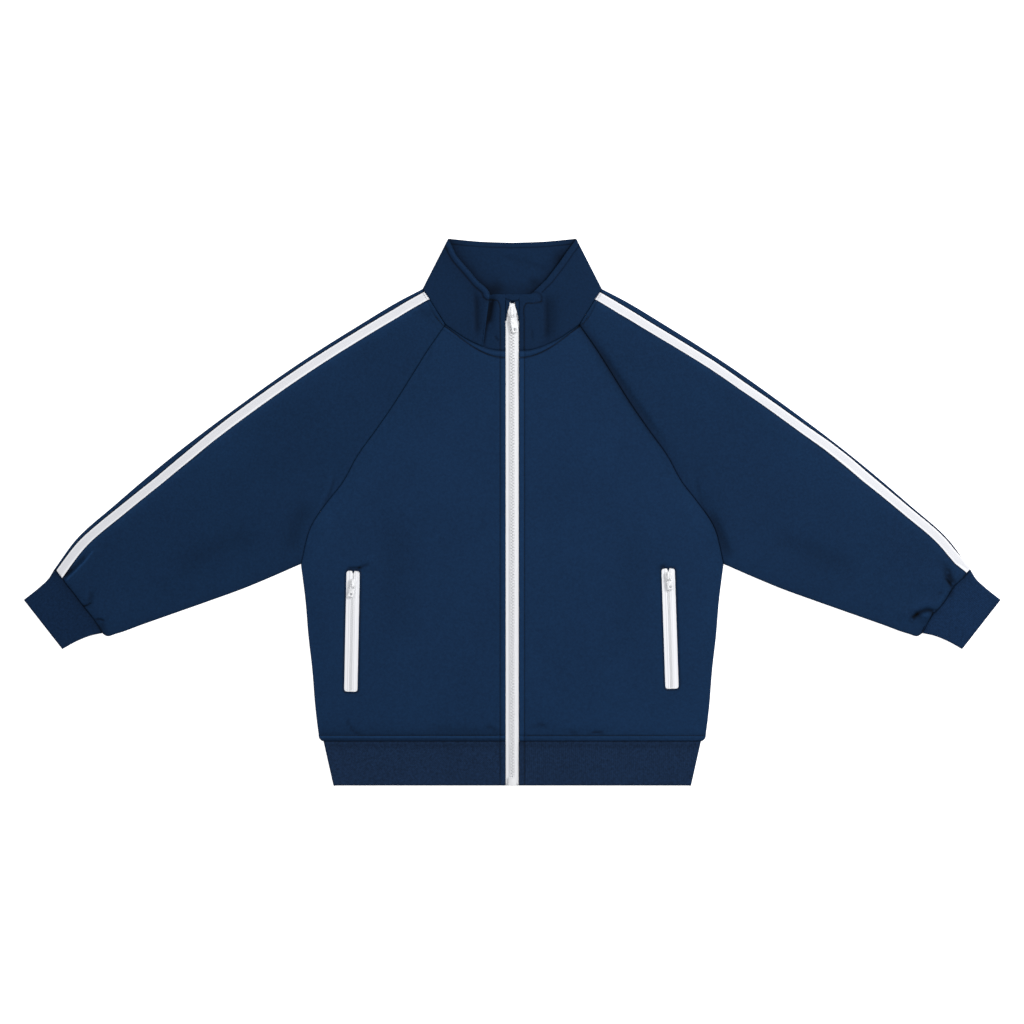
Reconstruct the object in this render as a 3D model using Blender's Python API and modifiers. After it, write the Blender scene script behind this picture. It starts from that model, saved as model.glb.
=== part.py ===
"""Zip-up track jacket with a stand collar and raglan sleeves, laid flat with its front up.

Lengths are in metres, and tables are in millimetres. X runs across the jacket, +Y towards the
collar and +Z up from the surface it lies on, with the origin under the middle of the jacket.
The wearer's right (suffix _r) is at -X. Outline tables give one side of the jacket: "out" is the
distance from the centre line and "up" is the height above the middle of the jacket.
"""
from collections import namedtuple
from math import cos, pi, radians, sin

import bmesh
import bpy
import numpy as np
from mathutils import Matrix, Vector

MM = 0.001

# Cloth
KNIT = 1.0 * MM            # one layer of double knit
RIB = 2.0 * MM             # rib of the cuffs and hem band, folded double
COLLAR_WALL = 2.0 * MM     # collar, outer and inner knit together
STRIPE_WALL = 0.6 * MM     # satin tape down the sleeve
TAPE_WALL = 0.6 * MM       # zip tape
SEAM_GAP = 0.3 * MM
HALF_GAP = SEAM_GAP / 2
CUFF_GAP = 0.7 * MM        # a cuff's thick edge is set further back from its seam

# Heights above the surface
LAID_TOP = 4.4 * MM        # outer face of the upper layer over most of the jacket
LEAST_TOP = 3.4 * MM       # and where a fold is deepest
MOST_TOP = 5.9 * MM        # and where it is highest, with under 4 mm of room inside
EDGE_TOP = 3.7 * MM        # outer face where the cloth turns under at a side
EDGE_MIDDLE = EDGE_TOP / 2
FOLD_GAP = 0.6 * MM        # between the front and the back, which meet in a side fold
FOLD_UPRIGHT = 0.5 * MM    # half of the upright stretch in a side fold
FOLD_RADIUS = EDGE_MIDDLE - FOLD_UPRIGHT
EDGE_REACH = 28 * MM       # the cloth rises from the edge to the laid level over this width
BAND_TOP = 5.4 * MM        # outer face of the cuffs and the hem band
STRIP_TOP = 6.2 * MM       # outer face of the collar beside the zip
COLLAR_FOLD_TOP = 5.2 * MM  # outer face of the collar at its side folds

# Main zip
ZIP_HALF = 8.9 * MM        # half of the tape that shows between the fronts
TAPE_HALF = 15 * MM        # half of the whole zip
ZIP_BOTTOM = -369.0 * MM
ZIP_TOP = 282.8 * MM
TAPE_TOP_BODY = 3.1 * MM   # face of the zip tape under the fronts
TAPE_TOP_COLLAR = 3.9 * MM  # and under the collar
TAPE_SPREAD = 2.6 * MM     # each tape's shift to its side above the slider
SPREAD_START = 266 * MM
SPREAD_RUN = 8 * MM
CHAIN_WIDTH = 6.4 * MM
CHAIN_HEIGHT = 2.0 * MM

ZIP_BOX = (11.0 * MM, 11.2 * MM, 2.4 * MM)  # the box at its lower end: width, length, height
TEETH_START = ZIP_BOTTOM + ZIP_BOX[1] + SEAM_GAP
TEETH_END = 272 * MM       # under the slider, below its post

# Knit guard over the top of the zip: an arch from its left foot over the slider to its right foot.
# Points of the right half's inner edge and outer edge.
GuardStation = namedtuple("GuardStation", "inner_out inner_up outer_out outer_up")
GUARD = (
    GuardStation(8.1, 259.5, 8.6, 258.5), GuardStation(7.0, 266.0, 8.6, 266.0),
    GuardStation(6.5, 270.5, 8.6, 271.0), GuardStation(4.3, 277.2, 8.6, 279.0),
    GuardStation(3.5, 281.5, 8.6, 287.0), GuardStation(2.5, 283.4, 8.6, 293.6),
    GuardStation(0.0, 284.2, 0.0, 293.6),
)
GUARD_WALL = 1.6 * MM
GUARD_TOP = STRIP_TOP - SEAM_GAP

# Hem band
HEM_SEAM = -309.2 * MM
HEM_BOTTOM = -369.0 * MM
HEM_HALF_TOP = 254.8 * MM
HEM_HALF_BOTTOM = 241.3 * MM

# Outlines, seen from above: out_mm, up_mm
OVERARM = (
    (121.0, 301.0), (150.9, 285.5), (204.9, 253.1), (281.8, 204.5), (373.6, 139.7),
    (458.7, 74.9), (535.6, 10.1), (589.6, -38.5), (618.0, -77.5),
)
UNDERARM = (
    (285.2, -70.2), (323.7, -87.1), (362.8, -103.3), (407.4, -119.5), (453.3, -135.7),
    (499.2, -151.9), (534.0, -164.2), (547.8, -167.3), (553.4, -163.5),
)
CUFF_SEAM = (
    (618.0, -77.5), (606.5, -91.5), (594.0, -107.8), (579.2, -126.2), (564.8, -145.0),
    (553.4, -163.5),
)
CUFF_UPPER_EDGE = ((618.0, -77.5), (626.5, -91.0), (637.2, -101.0), (659.0, -118.5))
CUFF_LOWER_EDGE = ((553.4, -163.5), (568.0, -166.6), (586.9, -174.0), (607.0, -185.0))
SIDE_EDGE = (
    (256.8, -309.0), (260.3, -305.6), (261.6, -297.7), (265.6, -265.3), (270.0, -212.0),
    (275.0, -168.1), (279.1, -119.5), (285.2, -70.2),
)
RAGLAN_FRONT = (
    (90.2, 252.8), (114.4, 218.0), (137.3, 181.6), (157.6, 149.2), (184.6, 110.0),
    (208.9, 76.3), (229.2, 39.8), (248.1, 15.5), (271.0, -18.2), (285.2, -70.2),
)
RAGLAN_BACK = ((84.0, 290.5), (118.0, 232.0), (184.0, 128.0), (248.0, 26.0), (285.2, -70.2))
NECK_FRONT_SLEEVE = ((121.0, 301.0), (111.7, 286.9), (101.0, 270.0), (90.2, 252.8))
NECK_FRONT_BODY = (
    (90.2, 252.8), (78.0, 244.0), (63.5, 234.4), (46.2, 225.9), (26.3, 219.2), (8.9, 217.8),
)
NECK_BACK_SLEEVE = ((121.0, 301.0), (102.0, 295.2), (84.0, 290.5))
NECK_BACK_BODY = ((84.0, 290.5), (42.0, 283.5), (0.0, 281.5))
COLLAR_BACK_TOP = ((86.3, 369.0), (43.0, 365.0), (0.0, 363.5))

# Collar fronts from the zip to the side fold: share of the neck seam, place of the top edge, and
# the height of the outer face there
CollarStation = namedtuple("CollarStation", "share out_mm up_mm top_mm")
COLLAR_FRONT = {
    "r": (
        CollarStation(0.00, 9.2, 293.6, 6.2), CollarStation(0.06, 16.5, 293.8, 6.2),
        CollarStation(0.15, 26.6, 293.6, 5.9), CollarStation(0.19, 30.2, 296.0, 7.8),
        CollarStation(0.25, 34.6, 301.2, 7.8), CollarStation(0.37, 44.6, 310.4, 7.3),
        CollarStation(0.53, 58.3, 326.6, 6.6), CollarStation(0.74, 74.3, 345.2, 6.2),
        CollarStation(1.00, 86.3, 369.0, 5.2),
    ),
    "l": (
        CollarStation(0.00, 9.2, 293.6, 6.2), CollarStation(0.06, 16.5, 293.8, 6.2),
        CollarStation(0.18, 37.0, 293.8, 6.4), CollarStation(0.24, 39.6, 307.8, 5.7),
        CollarStation(0.34, 49.0, 318.2, 6.3), CollarStation(0.50, 62.0, 335.6, 7.2),
        CollarStation(0.75, 75.5, 354.9, 6.8), CollarStation(1.00, 86.3, 369.0, 5.2),
    ),
}
COLLAR_BETWEEN = (0.10, 0.31, 0.45, 0.63, 0.84, 0.93)  # more stations, for a smooth neck seam

# Sleeve stripes: share of the sleeve's length from neck to cuff, distance of the upper edge of
# the tape from the fold over the arm, and width of the tape
StripeStation = namedtuple("StripeStation", "share inset_mm width_mm")
STRIPE = {
    "r": (
        StripeStation(0.0, 3.0, 11.5), StripeStation(0.08, 5.6, 11.5),
        StripeStation(0.45, 4.9, 11.8), StripeStation(0.8, 5.3, 11.8),
        StripeStation(0.95, 3.7, 12.0), StripeStation(1.0, 2.9, 12.4),
    ),
    "l": (
        StripeStation(0.0, 3.0, 11.5), StripeStation(0.08, 5.6, 11.3),
        StripeStation(0.45, 4.9, 12.0), StripeStation(0.75, 3.2, 12.4),
        StripeStation(0.9, 2.8, 11.5), StripeStation(1.0, 2.6, 12.0),
    ),
}

# Soft folds of the upper layer: a ridge (+) or hollow (-) along a line, fading over its half width
Fold = namedtuple("Fold", "side start_mm end_mm half_width_mm height_mm")
FOLDS = (
    Fold("r", (598, -95), (566, -52), 8, 1.2),      # ridge below the stripe at the cuff
    Fold("r", (600, -76), (576, -54), 7, -0.9),     # hollow between that ridge and the stripe
    Fold("r", (566, -122), (545, -96), 9, 0.9),     # gather above the cuff
    Fold("r", (556, -140), (530, -128), 8, 0.8),
    Fold("r", (238, 52), (246, -6), 11, -0.8),      # crease beside the raglan seam
    Fold("r", (208, -77), (191, -68), 6, 0.8),      # lift over the pocket
    Fold("l", (590, -92), (556, -96), 9, 0.9),      # folds above the cuff
    Fold("l", (560, -142), (528, -136), 10, 1.2),
    Fold("l", (244, 50), (262, -16), 11, -0.8),
    Fold("l", (294, -60), (276, -16), 12, 0.8),
    Fold("r", (520, -60), (400, 20), 45, 0.5),      # loft along the sleeves
    Fold("l", (520, -60), (400, 20), 45, 0.5),
    Fold("r", (380, 20), (260, 120), 55, 0.5),
    Fold("l", (380, 20), (260, 120), 55, 0.5),
    Fold("r", (120, 40), (100, 160), 60, 0.4),      # loft of the chest
    Fold("l", (120, 40), (100, 160), 60, 0.4),
)

# Pockets: ends of the slot's centre line
Pocket = namedtuple("Pocket", "top_mm bottom_mm slider_mm pull_skew_deg")
POCKETS = {
    "r": Pocket((214.6, -79.5), (217.8, -242.3), (215.4, -98.6), -11.0),
    "l": Pocket((210.3, -76.3), (215.7, -238.3), (211.0, -88.8), 12.0),
}
SLOT_WIDTH = 18 * MM
SLOT_RADIUS = 5 * MM
POCKET_TAPE_WIDTH = 26 * MM
POCKET_TAPE_PAST = 4 * MM  # the tape runs on this far past each end of the slot
POCKET_TAPE_CLEAR = 0.1 * MM  # more room under the slot's edges than a seam has
POCKET_CHAIN_WIDTH = 5.4 * MM
POCKET_CHAIN_HEIGHT = 1.6 * MM

# Sliders and pulls, about the axis that the pull turns on: y runs up the zip. plate is the right
# half of the slider's outline: share of half its width, share of its length.
Hardware = namedtuple("Hardware", "width length bridge_length pull_length pull_width hole plate")
MAIN_SLIDER = Hardware(
    12 * MM, 18.9 * MM, 12.2 * MM, 25 * MM, 8.6 * MM, "square",
    ((0.62, 0), (0.8, 0.12), (1, 0.42), (0.62, 0.76), (0.5, 0.93), (0.36, 1)))
POCKET_SLIDER = Hardware(
    9.2 * MM, 12.5 * MM, 9.5 * MM, 16 * MM, 8.4 * MM, "round",
    ((0.72, 0), (0.8, 0.16), (1, 0.6), (0.9, 0.88), (0.5, 1)))
MAIN_HINGE = (0.0, 266.5 * MM)
MAIN_PULL_SKEW = 10.5
PLATE = 1.0 * MM
LOWER_PLATE = 0.7 * MM
PULL_THICKNESS = 1.3 * MM
PLAY = 0.35 * MM           # room round the pull's bar
SKEW_PLAY = 0.45 * MM      # and more of it towards the bridge's near foot, for a pull that lies askew
BRIDGE_WIDTH = 2.4 * MM
BRIDGE_THICKNESS = 1.1 * MM
LEG = 1.3 * MM             # length of each foot of the bridge
WINDOW_WIDTH = 4.4 * MM
WINDOW_END = 4.6 * MM      # far end of the pull's window from its axis
BAR_RADIUS = 0.5 * MM
LIP = 0.65 * MM            # thickness of the slider's side lips
SLIDER_BELOW = 4.2 * MM    # the slider reaches this far below the pull's axis
POST_WIDTH = 2.6 * MM
POST_BELOW = 6.0 * MM      # the post's two ends, below the slider's top end
POST_ABOVE = 1.2 * MM

# Grid sizes
EDGE_SAMPLES = 60          # points along an edge that is straight or joins two paths
FRONT_STEPS = 9
BACK_COLUMNS = 10
BAND_FRONT_COLUMNS = 8
BAND_BACK_COLUMNS = 14
RAGLAN_STEPS = 10
NECK_STEPS = 3
BACK_STEPS = 8
CUFF_STEPS = 9
SLEEVE_SHARES = np.r_[np.linspace(0, 0.94, 17), 0.97, 1.0]

SIDES = {"r": -1, "l": 1}

COLOURS = {                # linear RGB, roughness, metallic
    "navy_knit": ((0.010, 0.027, 0.070), 0.75, 0.0),
    "navy_rib": ((0.010, 0.023, 0.055), 0.85, 0.0),
    "white_tape": ((0.80, 0.80, 0.82), 0.6, 0.0),
    "white_plastic": ((0.84, 0.84, 0.85), 0.35, 0.0),
    "white_enamel": ((0.86, 0.86, 0.87), 0.3, 0.0),
}


# ---------------------------------------------------------------- curves and heights

def curve_through(points, samples=240):
    """A smooth path through a table's points: Hermite spans with tangents taken on the chords."""
    knots = np.array(points, float) * MM
    chord = np.r_[0, np.cumsum(np.hypot(*np.diff(knots, axis=0).T))]
    tangent = np.gradient(knots, chord, axis=0)
    run = np.linspace(0, chord[-1], samples)
    span = np.clip(np.searchsorted(chord, run, side="right") - 1, 0, len(knots) - 2)
    width = (chord[span + 1] - chord[span])[:, None]
    u = (run[:, None] - chord[span][:, None]) / width
    return ((1 + 2 * u) * (1 - u) ** 2 * knots[span] + u * (1 - u) ** 2 * width * tangent[span]
            + u * u * (3 - 2 * u) * knots[span + 1] + u * u * (u - 1) * width * tangent[span + 1])


def run_of(path):
    """Distance along a path at each of its points."""
    return np.r_[0, np.cumsum(np.hypot(*np.diff(path, axis=0).T))]


def along(path, share):
    """Points at shares of a path's length."""
    run = run_of(path)
    place = np.asarray(share) * run[-1]
    return np.stack([np.interp(place, run, path[:, axis]) for axis in (0, 1)], axis=-1)


def sideways(path, distance):
    """A path moved to the left of its direction."""
    direction = np.gradient(path, axis=0)
    direction /= np.hypot(*direction.T)[:, None]
    return path + distance * np.c_[-direction[:, 1], direction[:, 0]]


def meet(first, second):
    """Two moved paths, one after the other, each ended at the point where they cross."""
    ahead = first[-1] - first[-2]
    behind = second[0] - second[1]
    share = np.linalg.solve(np.c_[ahead, -behind], second[0] - first[-1])[0]
    corner = first[-1] + share * ahead
    return np.vstack([first[:-1], corner]), np.vstack([corner, second[1:]])


def reach(edge, start, end):
    """An edge path with its ends moved onto the pieces that it joins."""
    return np.vstack([start, edge[1:-1], end])


def coons(u, v, left, right, bottom, top):
    """A patch between four edge paths: u runs from left to right and v from bottom to top."""
    u = np.asarray(u)[..., None]
    v = np.asarray(v)[..., None]
    sides = (1 - u) * along(left, v[..., 0]) + u * along(right, v[..., 0])
    ends = (1 - v) * along(bottom, u[..., 0]) + v * along(top, u[..., 0])
    corners = ((1 - u) * (1 - v) * left[0] + u * (1 - v) * right[0]
               + (1 - u) * v * left[-1] + u * v * right[-1])
    return sides + ends - corners


def smoothstep(value):
    value = np.clip(value, 0, 1)
    return value * value * (3 - 2 * value)


def nearest(points, path):
    """Distance from each point to a path's nearest point."""
    flat = points.reshape(-1, 2)
    gap = np.hypot(flat[:, None, 0] - path[None, :, 0], flat[:, None, 1] - path[None, :, 1])
    return gap.min(axis=1).reshape(points.shape[:-1])


def from_line(points, start, end):
    """Distance from each point to a straight stretch."""
    run = end - start
    share = np.clip(((points - start) @ run) / (run @ run), 0, 1)
    return np.linalg.norm(points - start - share[..., None] * run, axis=-1)


EDGES = {name: curve_through(table) for name, table in (
    ("overarm", OVERARM), ("underarm", UNDERARM), ("side", SIDE_EDGE))}
SEAMS = {name: curve_through(table) for name, table in (
    ("raglan_front", RAGLAN_FRONT), ("raglan_back", RAGLAN_BACK), ("cuff", CUFF_SEAM),
    ("neck_front_sleeve", NECK_FRONT_SLEEVE), ("neck_front_body", NECK_FRONT_BODY),
    ("neck_back_sleeve", NECK_BACK_SLEEVE), ("neck_back_body", NECK_BACK_BODY))}


def upper_face(side, plan):
    """Height of the upper layer's outer face: the laid level, lower towards the folded edges and
    along the raglan seam, higher towards the neck and the cuff, with the soft folds added."""
    out, up = plan[..., 0], plan[..., 1]
    neck = np.maximum(np.hypot(out / 1.25, up - 300 * MM) - 90 * MM, 0)
    top = LAID_TOP + 1.5 * MM * np.exp(-(neck / (45 * MM)) ** 2)
    top += 0.8 * MM * np.exp(-(nearest(plan, SEAMS["cuff"]) / (30 * MM)) ** 2)
    top -= 0.6 * MM * np.exp(-(nearest(plan, SEAMS["raglan_front"]) / (12 * MM)) ** 2)
    for fold in FOLDS:
        if fold.side == side:
            gap = from_line(plan, np.array(fold.start_mm) * MM, np.array(fold.end_mm) * MM)
            top += fold.height_mm * MM * np.exp(-(gap / (fold.half_width_mm * MM)) ** 2)
    top = np.clip(top, LEAST_TOP, MOST_TOP)
    edge = np.minimum(nearest(plan, EDGES["overarm"]),
                      np.minimum(nearest(plan, EDGES["underarm"]), nearest(plan, EDGES["side"])))
    return EDGE_TOP + (top - EDGE_TOP) * smoothstep(edge / EDGE_REACH)


# ---------------------------------------------------------------- meshes

def fresh_collection(name):
    collection = bpy.data.collections.new(name)
    bpy.context.scene.collection.children.link(collection)
    return collection


def make_material(name):
    colour, roughness, metallic = COLOURS[name]
    material = bpy.data.materials.new(name)
    material.use_nodes = True
    shader = material.node_tree.nodes["Principled BSDF"]
    shader.inputs["Base Color"].default_value = (*colour, 1)
    shader.inputs["Roughness"].default_value = roughness
    shader.inputs["Metallic"].default_value = metallic
    material.diffuse_color = (*colour, 1)
    return material


def add_object(name, mesh, material, collection=None):
    piece = bpy.data.objects.new(name, mesh)
    (collection or JACKET).objects.link(piece)
    if material:
        mesh.materials.append(MATERIALS[material])
    return piece


def add_grid(name, points, material, closed=False, flip=False, wall=KNIT):
    """A wall of cloth: quads over a grid of outer points (rows, columns, xyz) and a Solidify that
    gives the thickness inwards. closed joins the last column to the first."""
    rows, columns = points.shape[:2]
    index = np.arange(rows * columns).reshape(rows, columns)
    if closed:
        index = np.c_[index, index[:, :1]]
    corners = (index[:-1, :-1], index[:-1, 1:], index[1:, 1:], index[1:, :-1])
    quads = np.stack(corners, axis=-1).reshape(-1, 4)
    if flip:
        quads = quads[:, ::-1]
    mesh = bpy.data.meshes.new(name)
    mesh.from_pydata(points.reshape(-1, 3).tolist(), [], quads.tolist())
    mesh.shade_smooth()
    piece = add_object(name, mesh, material)
    solid = piece.modifiers.new("wall", "SOLIDIFY")
    solid.thickness = wall
    solid.offset = -1
    return piece


def placed(side, plan, height):
    """Points in space from one side's plan points and heights."""
    return np.stack([SIDES[side] * plan[..., 0], plan[..., 1], height], axis=-1)


def add_prism(name, loops, thickness, material, place=Matrix(), collection=None):
    """A flat outline with holes, thickened about its own plane and put in place."""
    curve = bpy.data.curves.new(name, "CURVE")
    curve.dimensions = "2D"
    curve.fill_mode = "BOTH"
    curve.extrude = thickness / 2
    for loop in loops:
        spline = curve.splines.new("POLY")
        spline.points.add(len(loop) - 1)
        spline.use_cyclic_u = True
        for point, (x, y) in zip(spline.points, loop):
            point.co = (x, y, 0, 1)
    outline = bpy.data.objects.new(name, curve)
    bpy.context.scene.collection.objects.link(outline)
    bpy.context.view_layer.update()
    graph = bpy.context.evaluated_depsgraph_get()
    mesh = bpy.data.meshes.new_from_object(outline.evaluated_get(graph))
    bpy.data.objects.remove(outline)
    shape = bmesh.new()
    shape.from_mesh(mesh)
    bmesh.ops.remove_doubles(shape, verts=shape.verts, dist=0.00001)
    bmesh.ops.recalc_face_normals(shape, faces=shape.faces)
    bmesh.ops.transform(shape, matrix=place, verts=shape.verts)
    shape.to_mesh(mesh)
    shape.free()
    mesh.name = name
    return add_object(name, mesh, material, collection)


def rounded(width, bottom, top, radius, turn=0.0, centre=(0, 0), steps=3):
    """A rectangle with round corners, from bottom to top along y, turned about centre."""
    loop = []
    half = width / 2
    corners = ((half - radius, top - radius, 0), (radius - half, top - radius, 90),
               (radius - half, bottom + radius, 180), (half - radius, bottom + radius, 270))
    for x, y, start in corners:
        for step in range(steps + 1):
            angle = radians(start + 90 * step / steps)
            loop.append((x + radius * cos(angle), y + radius * sin(angle)))
    c, s = cos(turn), sin(turn)
    return [(centre[0] + c * x - s * y, centre[1] + s * x + c * y) for x, y in loop]


def circle(radius, centre, steps=12):
    return [(centre[0] + radius * cos(2 * pi * k / steps),
             centre[1] + radius * sin(2 * pi * k / steps)) for k in range(steps)]


def combine(piece, others, operation):
    """Boolean modifiers that join the others to a piece or cut them out of it."""
    for other in others:
        other.hide_render = True
        other.display_type = "WIRE"
        step = piece.modifiers.new(operation.lower(), "BOOLEAN")
        step.operation = operation
        step.object = other
    return piece


# ---------------------------------------------------------------- sleeves and their stripes

def armhole(layer, gap):
    """The sleeve's end from the neck point down to the armpit, moved off the seam by gap, and the
    share of its length at which the neck seam becomes the raglan seam."""
    neck, raglan = meet(sideways(SEAMS[f"neck_{layer}_sleeve"], gap),
                        sideways(SEAMS[f"raglan_{layer}"], gap))
    path = np.vstack([neck, raglan[1:]])
    return path, run_of(neck)[-1] / run_of(path)[-1]


def stripe_shares(side, share, width):
    """Shares across the sleeve at which the stripe's two edges lie."""
    columns = np.array([station[:3] for station in STRIPE[side]])
    inset = np.interp(share, columns[:, 0], columns[:, 1]) * MM
    band = np.interp(share, columns[:, 0], columns[:, 2]) * MM
    return inset / width, (inset + band) / width


def sleeve_rows(side):
    """Outer points of the upper layer and of the underside of a sleeve: for each share of its
    length, columns from the fold over the arm to the fold under it, and the stripe's columns."""
    radius = EDGE_MIDDLE
    front, corner_front = armhole("front", HALF_GAP)
    back, corner_back = armhole("back", HALF_GAP)
    cuff = sideways(SEAMS["cuff"], -HALF_GAP)
    share = SLEEVE_SHARES[:, None]
    width = (1 - share) * run_of(front)[-1] + share * run_of(cuff)[-1]

    edge = radius / width
    bend = edge * (1 - cos(radians(45)))
    first, last = stripe_shares(side, share, width)
    inner = steps_past_corner(corner_front, last[0, 0], 1 - edge[0, 0], NECK_STEPS, RAGLAN_STEPS)
    across = np.hstack([0 * width, bend, edge, first, last,
                        last + (1 - edge - last) * inner, 1 - edge, 1 - bend, 1 + 0 * width])
    upper_plan = sleeve_plan(across, share, front, cuff)
    upper = upper_face(side, upper_plan)
    upper[:, [0, -1]] = radius
    upper[:, [1, -2]] = radius * (1 + sin(radians(45)))

    inner = steps_past_corner(corner_back, edge[0, 0], 1 - edge[0, 0], 2, BACK_STEPS)
    across = np.hstack([bend, edge, edge + (1 - 2 * edge) * inner, 1 - edge, 1 - bend])
    lower_plan = sleeve_plan(across, share, back, cuff)
    lower = 0 * across
    lower[:, [0, -1]] = radius * (1 - sin(radians(45)))
    return placed(side, upper_plan, upper), placed(side, lower_plan, lower)


def steps_past_corner(corner, start, end, before, after):
    """Inner columns as shares of the span from start to end: even steps up to the corner of the
    armhole and even steps past it, so that the body panels can share their places."""
    corner = (corner - start) / (end - start)
    return np.r_[np.linspace(0, corner, before + 1)[1:], np.linspace(corner, 1, after + 1)[1:-1]]


def sleeve_plan(across, share, armhole_path, cuff_path):
    """Plan of a sleeve between its two ends and its two folded edges."""
    return coons(share, across, armhole_path, cuff_path,
                 reach(EDGES["overarm"], armhole_path[0], cuff_path[0]),
                 reach(EDGES["underarm"], armhole_path[-1], cuff_path[-1]))


def add_sleeve(side):
    """A flat tube: the upper layer from fold to fold, and back along the underside."""
    upper, lower = sleeve_rows(side)
    ring = np.concatenate([upper, lower[:, ::-1]], axis=1)
    add_grid(f"sleeve_{side}", ring, "navy_knit", closed=True, flip=side == "r")
    lift = SEAM_GAP + STRIPE_WALL
    add_grid(f"stripe_{side}", upper[:, 3:5] + (0, 0, lift), "white_tape",
             flip=side == "r", wall=STRIPE_WALL)


def add_cuff(side):
    """A flat rib tube from the cuff seam to the open end."""
    radius = BAND_TOP / 2
    seam = sideways(SEAMS["cuff"], CUFF_GAP)
    upper_edge = curve_through(CUFF_UPPER_EDGE)
    lower_edge = curve_through(CUFF_LOWER_EDGE)
    end = np.linspace(upper_edge[-1], lower_edge[-1], EDGE_SAMPLES)
    share = np.linspace(0, 1, 5)[:, None]
    width = (1 - share) * run_of(seam)[-1] + share * run_of(end)[-1]
    edge = radius / width
    bend = edge * (1 - cos(radians(45)))
    inner = edge + (1 - 2 * edge) * np.linspace(0, 1, CUFF_STEPS + 2)[1:-1]
    across = np.hstack([0 * width, bend, edge, inner, 1 - edge, 1 - bend, 1 + 0 * width,
                        1 - bend, 1 - edge, inner[:, ::-1], edge, bend])
    plan = coons(share, across, seam, end, reach(upper_edge, seam[0], end[0]),
                 reach(lower_edge, seam[-1], end[-1]))
    flat = [90] * (CUFF_STEPS + 2)
    turn = np.r_[0, 45, flat, 45, 0, -45, np.negative(flat), -45]
    height = radius * (1 + np.sin(np.radians(turn))) + 0 * across
    add_grid(f"cuff_{side}", placed(side, plan, height), "navy_rib", closed=True,
             flip=side == "r", wall=RIB)


# ---------------------------------------------------------------- body panels and hem band

def body_edges(layer, steps):
    """The path up the side fold and the raglan seam, the neck seam, the shares of the first that
    the rows lie on, and how much each row is folded: 1 up the side, fading to 0 at the armpit.
    The rows along the raglan seam are the sleeve's own columns."""
    raglan, neck = meet(sideways(SEAMS[f"raglan_{layer}"], -HALF_GAP)[::-1],
                        sideways(SEAMS[f"neck_{layer}_body"], HALF_GAP))
    path = np.vstack([EDGES["side"][:-1], raglan])
    side_run = run_of(EDGES["side"])[-1]
    armpit = side_run + EDGE_MIDDLE
    whole = run_of(path)[-1]
    side_rows = np.r_[0, 0.02, 0.2, 0.4, 0.6, np.linspace(0.72, 1, 6)] * side_run
    raglan_rows = armpit + np.linspace(0, 1, steps + 1) * (whole - armpit)
    rows = np.r_[side_rows, raglan_rows][:, None] / whole
    folded = 1 - smoothstep((rows * whole / side_run - 0.72) / 0.28)
    return path, neck, rows, folded


def edge_columns(width, folded):
    """Shares across a panel of its four outermost columns: the last of the cloth at a side fold
    stands upright, and along the raglan seam the columns lie flat beside each other."""
    fold = np.array([0, 0, FOLD_RADIUS * (1 - cos(radians(45))), FOLD_RADIUS])
    flat = np.array([0, 0.3, 0.7, 1]) * FOLD_RADIUS
    return (folded * fold + (1 - folded) * flat) / width


def add_front(side):
    """One front from its side fold and raglan seam to the zip, rounded down at the side fold."""
    path, neck, rows, folded = body_edges("front", RAGLAN_STEPS)
    zip_edge = np.linspace((ZIP_HALF, HEM_SEAM + HALF_GAP), neck[-1], EDGE_SAMPLES)
    hem = np.linspace(path[0], zip_edge[0], EDGE_SAMPLES)
    width = np.linalg.norm(along(path, rows) - along(zip_edge, rows), axis=2)
    first = edge_columns(width, folded)
    inner = np.linspace(0, 1, FRONT_STEPS + 1)[1:]
    u = np.hstack([first, first[:, -1:] + (1 - first[:, -1:]) * inner])
    plan = coons(u, rows, path, zip_edge, hem, neck)
    height = upper_face(side, plan)
    rise = np.array([EDGE_MIDDLE + FOLD_GAP / 2, EDGE_MIDDLE + FOLD_UPRIGHT,
                     EDGE_TOP - FOLD_RADIUS * (1 - sin(radians(45))), EDGE_TOP])
    height[:, :4] = folded * rise + (1 - folded) * height[:, :4]
    front = add_grid(f"front_{side}", placed(side, plan, height), "navy_knit", flip=side == "l")
    combine(front, [slot_cutter(side)], "DIFFERENCE")


def add_back():
    """The back, flat on the surface, turned up at the two side folds."""
    path, neck, rows, folded = body_edges("back", BACK_STEPS)
    mirror = np.array([-1, 1])
    top = np.vstack([neck * mirror, neck[::-1][1:]])
    hem = np.linspace(path[0] * mirror, path[0], EDGE_SAMPLES)
    width = 2 * along(path, rows)[..., 0]
    first = edge_columns(width, folded)
    inner = np.linspace(0, 1, BACK_COLUMNS + 1)[1:-1]
    middle = first[:, -1:] + (1 - 2 * first[:, -1:]) * inner
    u = np.hstack([first, middle, 1 - first[:, ::-1]])
    plan = coons(u, rows, path * mirror, path, hem, top)
    rise = np.array([EDGE_MIDDLE - FOLD_GAP / 2, EDGE_MIDDLE - FOLD_UPRIGHT,
                     FOLD_RADIUS * (1 - sin(radians(45))), 0])
    height = 0 * u
    height[:, :4] = folded * rise
    height[:, -4:] = height[:, 3::-1]
    add_grid("back", np.dstack([plan, height]), "navy_knit", flip=True)


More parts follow.
